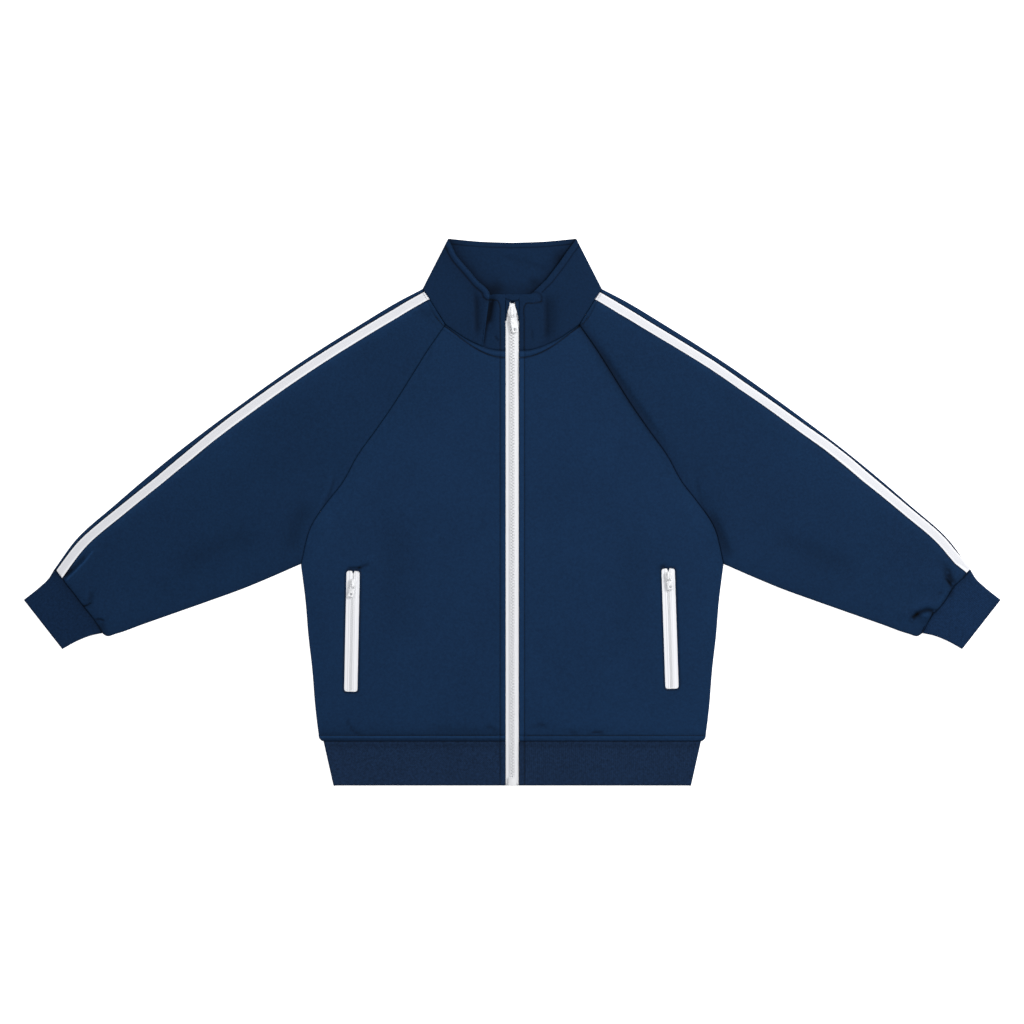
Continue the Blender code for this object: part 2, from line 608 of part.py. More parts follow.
def add_hem_band():
    """A rib band open at the zip: from one zip edge round the side folds and the back."""
    radius = BAND_TOP / 2
    share = np.linspace(0, 1, 4)[:, None]
    half = HEM_HALF_BOTTOM + (HEM_HALF_TOP - HEM_HALF_BOTTOM) * share
    up = HEM_BOTTOM + (HEM_SEAM - HALF_GAP - HEM_BOTTOM) * share
    turn = np.radians([45, 0, -45])
    front = ZIP_HALF + (half - radius - ZIP_HALF) * np.linspace(0, 1, BAND_FRONT_COLUMNS)
    fold = half - radius + radius * np.cos(turn)
    back = (half - radius) * np.linspace(1, -1, BAND_BACK_COLUMNS)
    across = np.hstack([front, fold, back, -fold[:, ::-1], -front[:, ::-1]])
    turned = radius * (1 + np.sin(turn))
    front_top = [BAND_TOP] * BAND_FRONT_COLUMNS
    height = np.r_[front_top, turned, [0] * BAND_BACK_COLUMNS, turned[::-1], front_top]
    points = np.stack([across, up + 0 * across, height + 0 * across], axis=-1)
    add_grid("hem_band", points, "navy_rib", wall=RIB)


# ---------------------------------------------------------------- collar

def collar_half(side):
    """Base points, top points and heights of one collar front, from the zip to the side fold."""
    neck = np.vstack([SEAMS["neck_front_sleeve"], SEAMS["neck_front_body"][1:]])
    base = sideways(neck, -HALF_GAP)[::-1]
    table = np.array(COLLAR_FRONT[side])
    radius = COLLAR_FOLD_TOP / 2
    edge = 1 - radius / run_of(base)[-1]
    share = np.sort(np.r_[table[:-1, 0], COLLAR_BETWEEN, edge])
    top_edge = np.stack([np.interp(share, table[:, 0], table[:, k]) for k in (1, 2)], axis=-1) * MM
    height = np.interp(share, table[:, 0], table[:, 3]) * MM
    height[-1] = COLLAR_FOLD_TOP
    return along(base, share), top_edge, height, base[-1]


def round_fold(corner, before, after):
    """Three plan points round a folded edge: halfway round from before, the edge, and halfway
    round to after."""
    bend = 1 - cos(radians(45))
    return np.stack([corner + bend * (before - corner), corner, corner + bend * (after - corner)])


def add_collar():
    """A stand collar laid flat: the two fronts with their pleats, round the side folds to the
    back, ruled from the neck seam to the top edge."""
    radius = COLLAR_FOLD_TOP / 2
    neck_back = sideways(np.vstack([SEAMS["neck_back_sleeve"], SEAMS["neck_back_body"][1:]]),
                         -HALF_GAP)
    top_back = curve_through(COLLAR_BACK_TOP)
    top_corner = top_back[0]
    back_share = np.r_[radius / run_of(neck_back)[-1], np.linspace(0.1, 1, 6)]
    base_back, top_back = along(neck_back, back_share), along(top_back, back_share)
    fold_height = radius * (1 + np.sin(np.radians([45, 0, -45])))
    rows = np.linspace(0, 1, 4)[:, None, None]
    halves = []
    for side in ("r", "l"):
        base, top, height, neck_point = collar_half(side)
        base = np.vstack([base, round_fold(neck_point, base[-1], base_back[0]), base_back])
        top = np.vstack([top, round_fold(top_corner, top[-1], top_back[0]), top_back])
        top_height = np.r_[height, fold_height, 0 * back_share]
        low_height = np.where(top_height > STRIP_TOP, STRIP_TOP + 0.35 * (top_height - STRIP_TOP),
                              top_height)
        plan = (1 - rows) * base + rows * top
        level = (1 - rows[..., 0]) * low_height + rows[..., 0] * top_height
        halves.append(placed(side, plan, level))
    right, left = halves
    points = np.concatenate([right, left[:, -2::-1]], axis=1)
    add_grid("collar", points, "navy_knit", flip=True, wall=COLLAR_WALL)


def add_chin_guard():
    """The knit arch that covers the ends of the zip's tapes and the top of its slider."""
    half = np.array(GUARD) * MM
    whole = np.vstack([half, half[-2::-1] * (-1, 1, -1, 1)])
    plan = np.stack([whole[:, :2], whole[:, 2:]])
    height = np.full(plan.shape[:2], GUARD_TOP)
    add_grid("chin_guard", np.dstack([plan, height]), "navy_knit", flip=True, wall=GUARD_WALL)


# ---------------------------------------------------------------- zips

def tape_top(up):
    """Face of the main zip's tape, which rises under the collar."""
    return TAPE_TOP_BODY + (TAPE_TOP_COLLAR - TAPE_TOP_BODY) * smoothstep((up - 180 * MM) / (34 * MM))


ZIP_ROWS = np.r_[ZIP_BOTTOM, np.linspace(-300, 180, 9) * MM, 191 * MM, 203 * MM, 214 * MM,
                 240 * MM, 266 * MM, 270 * MM, 274 * MM, ZIP_TOP]


def add_main_tapes():
    """Two tapes side by side, spread apart above the slider's middle."""
    spread = TAPE_SPREAD * smoothstep((ZIP_ROWS - SPREAD_START) / SPREAD_RUN)
    for side, way in SIDES.items():
        near = way * (HALF_GAP + spread)
        far = way * (TAPE_HALF + 0 * ZIP_ROWS)
        across = np.stack([near, far], axis=1)
        points = np.stack([across, ZIP_ROWS[:, None] + 0 * across,
                           tape_top(ZIP_ROWS)[:, None] + 0 * across], axis=-1)
        add_grid(f"main_tape_{side}", points, "white_tape",
                 flip=side == "r", wall=TAPE_WALL)


def add_main_chain():
    """The closed teeth as one bar with sloping sides, from the box at the hem to the slider."""
    rows = np.r_[TEETH_START, ZIP_ROWS[1:-3], TEETH_END]
    base = tape_top(rows) + SEAM_GAP
    add_bar("main_teeth", rows, base, chain_profile(CHAIN_WIDTH), CHAIN_HEIGHT, "white_plastic")


def chain_profile(width):
    """Section of closed teeth, flat below and with sloping shoulders: across, share of height."""
    half = width / 2
    return ((-half, 0), (half, 0), (half, 0.55), (half * 0.6, 1), (-half * 0.6, 1), (-half, 0.55))


def add_bar(name, rows, base, profile, height, material, place=None):
    """A profile carried along y: across in metres, rise as a share of height, capped at both
    ends."""
    shape = bmesh.new()
    rings = []
    for y, z in zip(rows, base):
        ring = []
        for across, rise in profile:
            point = Vector((across, y, z + rise * height))
            ring.append(shape.verts.new(place @ point if place else point))
        rings.append(ring)
    for first, second in zip(rings, rings[1:]):
        for k in range(len(profile)):
            following = (k + 1) % len(profile)
            shape.faces.new((first[k], first[following], second[following], second[k]))
    shape.faces.new(rings[0])
    shape.faces.new(rings[-1])
    bmesh.ops.recalc_face_normals(shape, faces=shape.faces)
    mesh = bpy.data.meshes.new(name)
    shape.to_mesh(mesh)
    shape.free()
    return add_object(name, mesh, material)


def add_zip_box():
    """The box that holds the bottom of the closed zip."""
    width, length, height = ZIP_BOX
    loop = rounded(width, ZIP_BOTTOM, ZIP_BOTTOM + length, 1.5 * MM)
    level = tape_top(ZIP_BOTTOM) + SEAM_GAP + height / 2
    add_prism("zip_box", [loop], height, "white_plastic", Matrix.Translation((0, 0, level)))


def add_slider(name, hinge, chain_width, chain_top, tape_face, size, turn=0.0):
    """A slider: an upper plate with side lips over the teeth, a lower plate under the tape, the
    post between them above the teeth, and the bridge that holds the pull. hinge is the axis
    of the pull."""
    x, y, z = hinge
    place = Matrix.Translation((x, y, 0)) @ Matrix.Rotation(turn, 4, "Z")
    low, high = -SLIDER_BELOW, slider_top(size)
    plate_low = chain_top + SEAM_GAP
    half = size.width / 2
    right = [(half * across, low + size.length * run) for across, run in size.plate]
    outline = right + [(-x, y) for x, y in right[::-1]]
    plate = add_prism(name, [outline], PLATE, "white_enamel",
                      place @ Matrix.Translation((0, 0, plate_low + PLATE / 2)))

    lower_high = tape_face - TAPE_WALL - SEAM_GAP
    lower = add_prism(f"{name}_lower", [outline], LOWER_PLATE, None,
                      place @ Matrix.Translation((0, 0, lower_high - LOWER_PLATE / 2)), CUTTERS)
    post_high = plate_low + 0.2 * MM
    post_low = lower_high - 0.2 * MM
    post_loop = rounded(POST_WIDTH, high - POST_BELOW, high - POST_ABOVE, 1 * MM)
    post = add_prism(f"{name}_post", [post_loop],
                     post_high - post_low, None,
                     place @ Matrix.Translation((0, 0, (post_high + post_low) / 2)), CUTTERS)

    lips = []
    for way in (-1, 1):
        lip = rounded(LIP, low + 0.3 * size.length, low + 0.6 * size.length, 0.2 * MM, steps=1,
                      centre=(way * (chain_width / 2 + SEAM_GAP + LIP / 2), 0))
        lips.append(add_prism(f"{name}_lip_{way + 2}", [lip], 1.3 * MM, None,
                              place @ Matrix.Translation((0, 0, plate_low - 0.5 * MM)), CUTTERS))

    foot = plate_low + PLATE - 0.2 * MM - z
    crown = PULL_THICKNESS / 2 + PLAY
    near = -(BAR_RADIUS + PLAY + SKEW_PLAY)
    far = near + size.bridge_length - LEG
    cut = 0.8 * MM
    rise = crown + BRIDGE_THICKNESS
    arch = [(near - LEG, foot), (near, foot), (near, crown), (far, crown), (far, foot),
            (far + LEG, foot), (far + LEG, rise - cut), (far + LEG - cut, rise),
            (near - LEG + cut, rise), (near - LEG, rise - cut)]
    upright = Matrix(((0, 0, 1, 0), (1, 0, 0, 0), (0, 1, 0, z), (0, 0, 0, 1)))
    bridge = add_prism(f"{name}_bridge", [arch], BRIDGE_WIDTH, None, place @ upright, CUTTERS)
    return combine(plate, [post, lower, bridge, *lips], "UNION")


def add_pull(name, hinge, size, skew):
    """A pull tab: a plate with a window that the bridge goes through, so that its end bar lies
    under the bridge, and a hole near its free end. It turns about its own origin."""
    half = WINDOW_WIDTH / 2
    rail = 1.15 * MM
    shoulder = -(WINDOW_END + 1.4 * MM)
    neck = half + rail
    wide = size.pull_width / 2
    corner = 1.6 * MM
    end = -size.pull_length
    inset = 0.3 * corner
    half_outline = [(neck - 0.5 * MM, BAR_RADIUS), (neck, BAR_RADIUS - 0.5 * MM), (neck, shoulder),
                    (wide, shoulder - 2.2 * MM), (wide, end + corner),
                    (wide - inset, end + inset), (wide - corner, end)]
    outline = half_outline + [(-x, y) for x, y in half_outline[::-1]]
    window = [(-half, -WINDOW_END), (half, -WINDOW_END), (half, -BAR_RADIUS), (-half, -BAR_RADIUS)]
    if size.hole == "square":
        hole = rounded(3.7 * MM, end + 2.2 * MM, end + 5.9 * MM, 0.6 * MM, steps=1)
    else:
        hole = circle(1.7 * MM, (0, end + 3.4 * MM))
    pull = add_prism(name, [outline, window, hole], PULL_THICKNESS, "white_enamel")
    pull.location = hinge
    pull.rotation_euler = (0, 0, radians(skew))
    return pull


def slider_top(size):
    """Where a slider's top end lies above the pull's axis."""
    return size.length - SLIDER_BELOW


def pull_axis_height(chain_top):
    return chain_top + SEAM_GAP + PLATE + PLAY + PULL_THICKNESS / 2


def add_main_zip():
    add_main_tapes()
    add_main_chain()
    add_zip_box()
    x, y = MAIN_HINGE
    face = TAPE_TOP_COLLAR
    chain_top = face + SEAM_GAP + CHAIN_HEIGHT
    hinge = (x, y, pull_axis_height(chain_top))
    add_slider("main_slider", hinge, CHAIN_WIDTH, chain_top, face, MAIN_SLIDER)
    add_pull("main_pull", hinge, MAIN_SLIDER, MAIN_PULL_SKEW)


def pocket_frame(side):
    """Middle of a pocket's slot, its turn about Z and its length."""
    pocket = POCKETS[side]
    way = SIDES[side]
    top = Vector((way * pocket.top_mm[0], pocket.top_mm[1])) * MM
    bottom = Vector((way * pocket.bottom_mm[0], pocket.bottom_mm[1])) * MM
    run = top - bottom
    return (top + bottom) / 2, -np.arctan2(run.x, run.y), run.length


def slot_cutter(side):
    centre, turn, length = pocket_frame(side)
    loop = rounded(SLOT_WIDTH, -length / 2, length / 2, SLOT_RADIUS, turn, centre, steps=4)
    height = 2 * MOST_TOP
    return add_prism(f"slot_{side}", [loop], height, None,
                     Matrix.Translation((0, 0, height / 2)), CUTTERS)


def pocket_tape_face(side, place, half):
    """Face of the pocket's flat tape, just under the lowest part of the front round the slot."""
    across = POCKET_TAPE_WIDTH / 2
    rim = [(place @ Vector((x, y, 0)))[:2] for x in (-across, 0, across)
           for y in np.linspace(-half, half, 13)]
    plan = np.array(rim) * (SIDES[side], 1)
    return upper_face(side, plan).min() - KNIT - SEAM_GAP - POCKET_TAPE_CLEAR


def add_pocket_zip(side):
    """A zip set into the slot of one front, its tape under the slot's edges."""
    centre, turn, length = pocket_frame(side)
    place = Matrix.Translation((*centre, 0)) @ Matrix.Rotation(turn, 4, "Z")
    half = length / 2 + POCKET_TAPE_PAST
    face = pocket_tape_face(side, place, half)
    pocket = POCKETS[side]
    hinge_plan = Vector((SIDES[side] * pocket.slider_mm[0], pocket.slider_mm[1], 0)) * MM
    slider_y = (place.inverted() @ hinge_plan).y
    top = slider_top(POCKET_SLIDER)
    tape = rounded(POCKET_TAPE_WIDTH, -half, half, 2 * MM, steps=1)
    parting = rounded(POST_WIDTH + 2 * SEAM_GAP, slider_y + top - POST_BELOW - SEAM_GAP,
                      slider_y + top - POST_ABOVE + SEAM_GAP, 1 * MM, steps=2)
    add_prism(f"pocket_{side}_tape", [tape, parting], TAPE_WALL, "white_tape",
              place @ Matrix.Translation((0, 0, face - TAPE_WALL / 2)))

    ends = np.array([-length / 2 + 1.0 * MM, slider_y + 1.2 * MM])
    add_bar(f"pocket_{side}_teeth", ends, np.full(2, face + SEAM_GAP),
            chain_profile(POCKET_CHAIN_WIDTH), POCKET_CHAIN_HEIGHT, "white_plastic", place)
    chain_top = face + SEAM_GAP + POCKET_CHAIN_HEIGHT
    axis = place @ Vector((0, slider_y, 0))
    hinge = (axis.x, axis.y, pull_axis_height(chain_top))
    add_slider(f"pocket_{side}_slider", hinge, POCKET_CHAIN_WIDTH, chain_top, face,
               POCKET_SLIDER, turn)
    add_pull(f"pocket_{side}_pull", hinge, POCKET_SLIDER, pocket.pull_skew_deg)


# ---------------------------------------------------------------- the jacket

for old in list(bpy.data.objects):
    bpy.data.objects.remove(old)

JACKET = fresh_collection("track_jacket")
CUTTERS = fresh_collection("cutters")
MATERIALS = {name: make_material(name) for name in COLOURS}

add_back()
add_hem_band()
add_collar()
add_chin_guard()
for jacket_side in SIDES:
    add_front(jacket_side)
    add_sleeve(jacket_side)
    add_cuff(jacket_side)
    add_pocket_zip(jacket_side)
add_main_zip()
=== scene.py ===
"""Looks of a zip-up track jacket with a stand collar and raglan sleeves, laid flat, front up.

Lengths are in metres, and tables are in millimetres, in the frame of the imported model: X runs
across the jacket, +Y towards the collar and +Z up. Outline tables give one side: "out" is the
distance from the centre line and "up" the height above the middle of the jacket. Every cloth
panel is a fine shell on the form of its solid, between the same outlines.
"""
from collections import namedtuple
from math import pi, radians

import bmesh
import bpy
import numpy as np
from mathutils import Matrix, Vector


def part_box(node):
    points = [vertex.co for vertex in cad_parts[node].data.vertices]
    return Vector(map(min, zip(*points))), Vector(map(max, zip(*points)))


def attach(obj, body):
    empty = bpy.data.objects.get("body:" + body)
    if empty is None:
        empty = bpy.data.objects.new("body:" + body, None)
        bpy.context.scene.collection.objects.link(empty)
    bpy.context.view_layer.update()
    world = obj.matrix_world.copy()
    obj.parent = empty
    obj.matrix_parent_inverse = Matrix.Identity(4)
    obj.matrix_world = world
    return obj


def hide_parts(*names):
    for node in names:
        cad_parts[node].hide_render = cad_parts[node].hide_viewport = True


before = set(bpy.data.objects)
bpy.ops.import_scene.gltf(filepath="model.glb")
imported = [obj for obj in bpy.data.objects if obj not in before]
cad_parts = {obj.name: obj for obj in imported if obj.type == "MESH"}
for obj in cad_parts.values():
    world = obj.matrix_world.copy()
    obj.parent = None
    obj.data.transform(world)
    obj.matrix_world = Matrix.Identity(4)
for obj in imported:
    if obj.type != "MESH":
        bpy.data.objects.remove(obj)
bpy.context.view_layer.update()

MM = 0.001
SIDES = {"r": -1, "l": 1}
ROOT = "jacket"

# ---------------------------------------------------------------- sizes

KNIT = 0.9 * MM            # wall of the fine shells of single knit
RIB = 1.8 * MM
COLLAR_WALL = 1.8 * MM
GUARD_WALL = 1.4 * MM
TAPE_WALL = 0.5 * MM
HALF_GAP = 0.05 * MM       # half of the gap in a seam
LAID_TOP = 4.4 * MM        # outer face of the upper layer
LEAST_TOP = 3.2 * MM
MOST_TOP = 7.2 * MM
EDGE_TOP = 3.7 * MM        # outer face where the cloth turns under at a side
FOLD_RADIUS = EDGE_TOP / 2
EDGE_REACH_MM = 28
BAND_TOP = 5.4 * MM        # outer face of the cuffs and the hem band
GUARD_TOP = 5.9 * MM
ROLL_MM = 1.2              # radius of the edge that is turned in at a seam
BAND_ROLL_MM = 1.3
STITCH_PITCH = 2.8 * MM
STITCH_LENGTH = 1.7 * MM
THREAD = 0.52 * MM         # radius of the sewing thread, drawn a little stout

ZIP_HALF = 8.8 * MM        # half of the tape that shows between the fronts
TAPE_HALF = 14.5 * MM
POCKET_TAPE_HALF = 13 * MM
ZIP_BOTTOM_MM, ZIP_TOP_MM = -369, 282.8
TAPE_TOP_BODY = 3.1 * MM
TAPE_TOP_COLLAR = 3.9 * MM
HEM_SEAM = -309.2 * MM
HEM_BOTTOM = -369.0 * MM
HEM_HALF_TOP = 254.8 * MM
HEM_HALF_BOTTOM = 241.3 * MM
TOPSTITCH = 7.6 * MM       # from a zip edge or the hem seam
SLOT_WIDTH = 18 * MM
SLOT_RADIUS = 3.4 * MM
SLOT_MARGIN = 13 * MM      # the front's grid is cut back this far from the slot, and rings fill it
POCKET_STITCH = 2.0 * MM   # from the slot's edge

SLEEVE_ROWS = 120
STRIPE_COLUMN = 20         # a column of the sleeve's grid that runs its whole length
HEM_BACK_COLUMNS = 60

FIELD = 1.3824             # width of the floor that the photograph spans
CAMERA_X, CAMERA_HEIGHT = -0.34 * MM, 5.0
FLOOR_GLOW, FLOOR_Z = 0.6, -0.4 * MM
WORLD_LIGHT = 0.42
LIGHTS = (("key", (1.9, 1.3, 2.2), 0.9, 72.0), ("overhead", (-0.3, 0.2, 3.4), 1.6, 42.0))

# Outlines, seams and folds: out_mm, up_mm. The cuffs' seams are a little uneven, where the sleeve
# is gathered into them.
LINE_TABLES = {
    "overarm": (
        (121, 301), (150.9, 285.5), (204.9, 253.1), (281.8, 204.5), (373.6, 139.7), (458.7, 74.9),
        (535.6, 10.1), (589.6, -38.5), (618, -77.5),
    ),
    "underarm": (
        (285.2, -70.2), (323.7, -87.1), (362.8, -103.3), (407.4, -119.5), (453.3, -135.7),
        (499.2, -151.9), (534, -164.2), (547.8, -167.3), (553.4, -163.5),
    ),
    "side": (
        (256.8, -309), (260.3, -305.6), (261.6, -297.7), (265.6, -265.3), (270, -212),
        (275, -168.1), (279.1, -119.5), (285.2, -70.2),
    ),
    "raglan_front": (
        (90.2, 252.8), (114.4, 218), (137.3, 181.6), (157.6, 149.2), (184.6, 110), (208.9, 76.3),
        (229.2, 39.8), (248.1, 15.5), (271, -18.2), (285.2, -70.2),
    ),
    "raglan_back": ((84, 290.5), (118, 232), (184, 128), (248, 26), (285.2, -70.2)),
    "neck_front_sleeve": ((121, 301), (111.7, 286.9), (101, 270), (90.2, 252.8)),
    "neck_front_body": (
        (90.2, 252.8), (78, 244), (63.5, 234.4), (46.2, 225.9), (26.3, 219.2), (8.9, 217.8),
    ),
    "neck_back_sleeve": ((121, 301), (102, 295.2), (84, 290.5)),
    "neck_back_body": ((84, 290.5), (42, 283.5), (0, 281.5)),
    "neck_topstitch": (
        (103.6, 263.9), (94.3, 253.1), (83.6, 245.2), (63.5, 230.1), (43.5, 217.4), (23.6, 209.8),
        (8.9, 208.3),
    ),
    "cuff_r": (
        (618, -77.5), (608.6, -87.2), (603.8, -94.4), (593.5, -107.6), (579.2, -126.4),
        (566.2, -142.8), (556.8, -157), (553.4, -163.5),
    ),
    "cuff_l": (
        (618, -77.5), (609.6, -87.6), (599.2, -97.4), (592.2, -105.6), (585.4, -117.4),
        (575.6, -130), (567.4, -138.6), (561.6, -147.4), (553.4, -163.5),
    ),
    "cuff_upper": ((618, -77.5), (626.5, -91), (637.2, -101), (659, -118.5)),
    "cuff_lower": ((553.4, -163.5), (568, -166.6), (586.9, -174), (607, -185)),
    "collar_back": ((86.3, 369), (43, 365), (0, 363.5)),
    "guard_fold": ((-10.9, 288.2), (-6, 286.4), (1.7, 284.6), (6, 285), (9.5, 286.2)),
}

# Soft folds of the upper layer, as in the solids: a ridge (+) or hollow (-) along a straight line,
# with its start, its end, its half width and its height in mm
FOLDS = {
    "r": (
        ((598, -95), (566, -52), 8, 1.2), ((600, -76), (576, -54), 7, -0.9),
        ((566, -122), (545, -96), 9, 0.9), ((556, -140), (530, -128), 8, 0.8),
        ((238, 52), (246, -6), 11, -0.8), ((208, -77), (191, -68), 6, 0.8),
        ((520, -60), (400, 20), 45, 0.5), ((380, 20), (260, 120), 55, 0.5),
        ((120, 40), (100, 160), 60, 0.4),
    ),
    "l": (
        ((590, -92), (556, -96), 9, 0.9), ((560, -142), (528, -136), 10, 1.2),
        ((244, 50), (262, -16), 11, -0.8), ((294, -60), (276, -16), 12, 0.8),
        ((520, -60), (400, 20), 45, 0.5), ((380, 20), (260, 120), 55, 0.5),
        ((120, 40), (100, 160), 60, 0.4),
    ),
}

# Finer creases, each along its own curve, and fading at both ends over a share of its length. A
# crease's shade, where given, is painted shade along it, and below nought a painted highlight.
Crease = namedtuple("Crease", "half_mm height_mm path_mm shade fade", defaults=(None, 0.28))
SLEEVE_CREASES = {
    "r": (
        (2.2, -1, ((238.6, 54), (245.4, 27.7), (258.5, 0))),
        (3.5, 0.7, ((244.5, 54), (251.5, 27.7), (264.5, 2))),
        (2.2, -0.5, ((161.7, 172), (165, 160), (168.4, 146))),
        (13, -0.9, ((270, 20), (293.9, -25), (299, -62))),
        (7, -0.9, ((130, 274.5), (120, 270), (108, 262))),
        (1.4, 1.2, ((603.5, -95), (601.8, -92.5), (588.3, -79), (576.1, -66.2),
            (564, -50.5)), -0.75, 0.12),
        (3.4, -1.6, ((607.5, -89), (598.5, -81.5), (589.2, -71.8), (575, -57.5)), 0.45, 0.15),
        (2.4, -0.8, ((606.5, -88.5), (599.5, -82.8), (592.5, -75.5)), 0.5, 0.15),
        (1.3, -1, ((580, -127.6), (573.4, -125.6), (567, -121.6)), 0.6, 0.2),
        (3.6, -0.8, ((571.5, -124), (568.6, -114), (566.4, -105)), 0.28),
        (4, 0.8, ((578, -120), (575, -112), (570, -102))),
        (1.3, -1, ((563.6, -146), (556.5, -144.2), (548.8, -147.6)), 0.5, 0.2),
        (3.6, -0.6, ((555.5, -148), (553, -154), (551.5, -161)), 0.25),
        (1.1, -0.4, ((117, 289), (110.2, 276), (103.6, 263.9), (94, 252.9)), 0.34, 0.04),
        (20, 0.7, ((500, -10), (420, 52), (330, 118))),
        (16, -0.6, ((470, -80), (400, -48), (330, -22))),
    ),
    "l": (
        (1.1, -0.4, ((117, 289), (110.2, 276), (103.6, 263.9), (94, 252.9)), 0.34, 0.04),
        (2.2, -0.8, ((247.4, 51), (252.8, 23.6), (267.3, -18))),
        (7.5, -1.6, ((262, 10), (276, -20), (296, -68))),
        (4.2, -0.9, ((100, 246), (150, 172), (212, 84))),
        (1.8, -1.3, ((582.5, -88), (588.4, -94.5), (594, -101.6)), 0.42, 0.2),
        (4.2, -1.3, ((587, -82), (590.6, -90), (594, -98)), 0.55, 0.3),
        (6, -0.8, ((583, -64), (586, -77), (590, -90)), 0.24),
        (2.4, 0.6, ((568.5, -130), (579.5, -115.5), (589, -100.5)), -0.14),
        (3, -2, ((538.5, -146), (543.4, -139.4), (550.6, -134.9), (559.4, -132.2),
            (569.5, -134.4)), 0.66, 0.12),
        (4.4, -1, ((541, -137), (547, -140), (553, -146)), 0.36, 0.35),
        (2.6, 1.2, ((550, -142.5), (556, -140.2), (563, -138)), -0.2),
        (1.5, -0.8, ((569.5, -133.5), (566, -140), (563, -148)), 0.5),
        (4.5, 1, ((536, -138), (544, -127), (558, -122), (572, -125))),
        (2, -0.5, ((573.5, -110.5), (577, -109), (580.5, -107.5)), 0.28),
        (20, 0.7, ((505, -20), (430, 44), (340, 108))),
        (16, -0.6, ((476, -84), (404, -52), (336, -28))),
    ),
}
FRONT_CREASES = {
    "r": (
        (1.8, -0.5, ((107, 227), (112, 213), (118.5, 200))),
        (15, 0.9, ((222, 34), (244, -2), (264, -40))),
        (4.2, 0.8, ((212, -69), (200, -65), (186, -61))),
        (1.8, -0.5, ((223.4, -276), (220.2, -286.9), (215.3, -294.3), (201, -301.2)), 0.34),
        (1.9, -0.8, ((226, -77.5), (219, -75.6), (208, -75.4), (199, -77)), 0.5),
        (2, -0.7, ((211, -77), (201.5, -72.5), (190, -69.2)), 0.45),
        (5, -0.45, ((120, -286), (80, -294), (30, -296))),
        (3, -0.3, ((40, -287), (28, -291), (18, -299)), 0.25, 0.4),
        (26, -0.5, ((150, 20), (160, -80), (150, -200))),
    ),
    "l": (
        (2.4, -0.8, ((197.5, -74.5), (202, -73.4), (208, -72.8)), 0.5),
        (3.4, -0.3, ((24, -292), (36, -287), (54, -292)), 0.3, 0.4),
        (1.6, -0.4, ((104, -299), (114, -297), (126, -300)), 0.5, 0.3),
        (2.4, -0.3, ((74, -294), (84, -298), (92, -301)), 0.25, 0.4),
        (5, -0.45, ((34, -294), (90, -296), (150, -291))),
        (14, 0.7, ((226, 30), (248, -8), (266, -44))),
        (26, -0.5, ((150, 20), (160, -80), (150, -200))),
    ),
}

# Collar fronts from the zip to the side fold, column by column: share of the neck seam, place of
# the top edge (out_mm, up_mm), and the outer face's height in mm at the top edge and at the seam
COLLAR = {
    "r": (
        (0, 9.2, 293.6, 6, 6), (0.045, 16, 293.8, 6.3, 6.2), (0.09, 21.5, 293.9, 6.1, 6.1),
        (0.13, 25.4, 293.6, 5.3, 5.8), (0.17, 28.8, 293, 4.3, 5.4), (0.208, 31.6, 293.6, 4.3, 5.2),
        (0.22, 32.4, 294.6, 5.6, 5.4), (0.212, 30.4, 294.4, 7.2, 6), (0.22, 30.8, 296.2, 8.6, 6.6),
        (0.24, 33.6, 300.4, 8.9, 6.9), (0.285, 38, 304.8, 8.6, 6.9), (0.375, 46, 311.8, 8, 6.8),
        (0.53, 58.6, 326.8, 7.2, 6.6), (0.74, 74.3, 345.2, 6.6, 6), (0.9, 81.6, 359.5, 5.9, 5.5),
    ),
    "l": (
        (0, 9.2, 293.6, 6, 6), (0.05, 17, 293.8, 6.4, 6.2), (0.1, 23.4, 294, 6.7, 6.3),
        (0.15, 27.6, 296.6, 6.9, 6.2), (0.2, 33, 301.4, 6.9, 6), (0.25, 40.2, 308.6, 7, 6),
        (0.31, 46.4, 314.6, 7.1, 6.3), (0.4, 54, 324.2, 7.2, 6.6), (0.53, 64.4, 338, 7.1, 6.6),
        (0.74, 76, 354.6, 6.6, 6), (0.9, 82.6, 363.4, 5.9, 5.5),
    ),
}
COLLAR_FOLD_TOP = 5.2 * MM
PLEAT_COLUMN = 53          # grid column of the right front's pleat, where the wing's edge is
WING_COLUMN = 23           # column where the left front's wing begins
WING_STITCH = 8.6 * MM     # from the wing's top edge
# Painted shade spots inside the collar: place_mm, half width in mm, shade
INSIDE_SHADE_SPOTS = (((65, 342), 11, 0.3), ((-20, 303), 10, 0.3), ((29, 311), 6, 0.3))
WING_CREASES = {
    "r": (
        (3.4, -0.9, ((52, 304), (49.2, 288), (48.3, 262), (47, 230)), 0.42, 0.3),
        (5, -0.3, ((46, 294), (43.6, 278), (43, 258), (42.6, 238)), 0.18),
        (1.7, 0.3, ((32.4, 284), (35.4, 262), (37.6, 240), (39.4, 230)), -0.1, 0.1),
    ),
    "l": (
        (3.8, -1, ((45, 300), (46, 275), (46.4, 248), (45.5, 222)), 0.24, 0.3),
        (9, -0.5, ((52, 300), (52.4, 272), (51.6, 246), (50, 226)), 0.28),
        (1.3, -0.4, ((24, 294.5), (33, 296.2), (38.2, 293), (39.8, 288), (39.2, 281)), 0.4, 0.1),
    ),
}
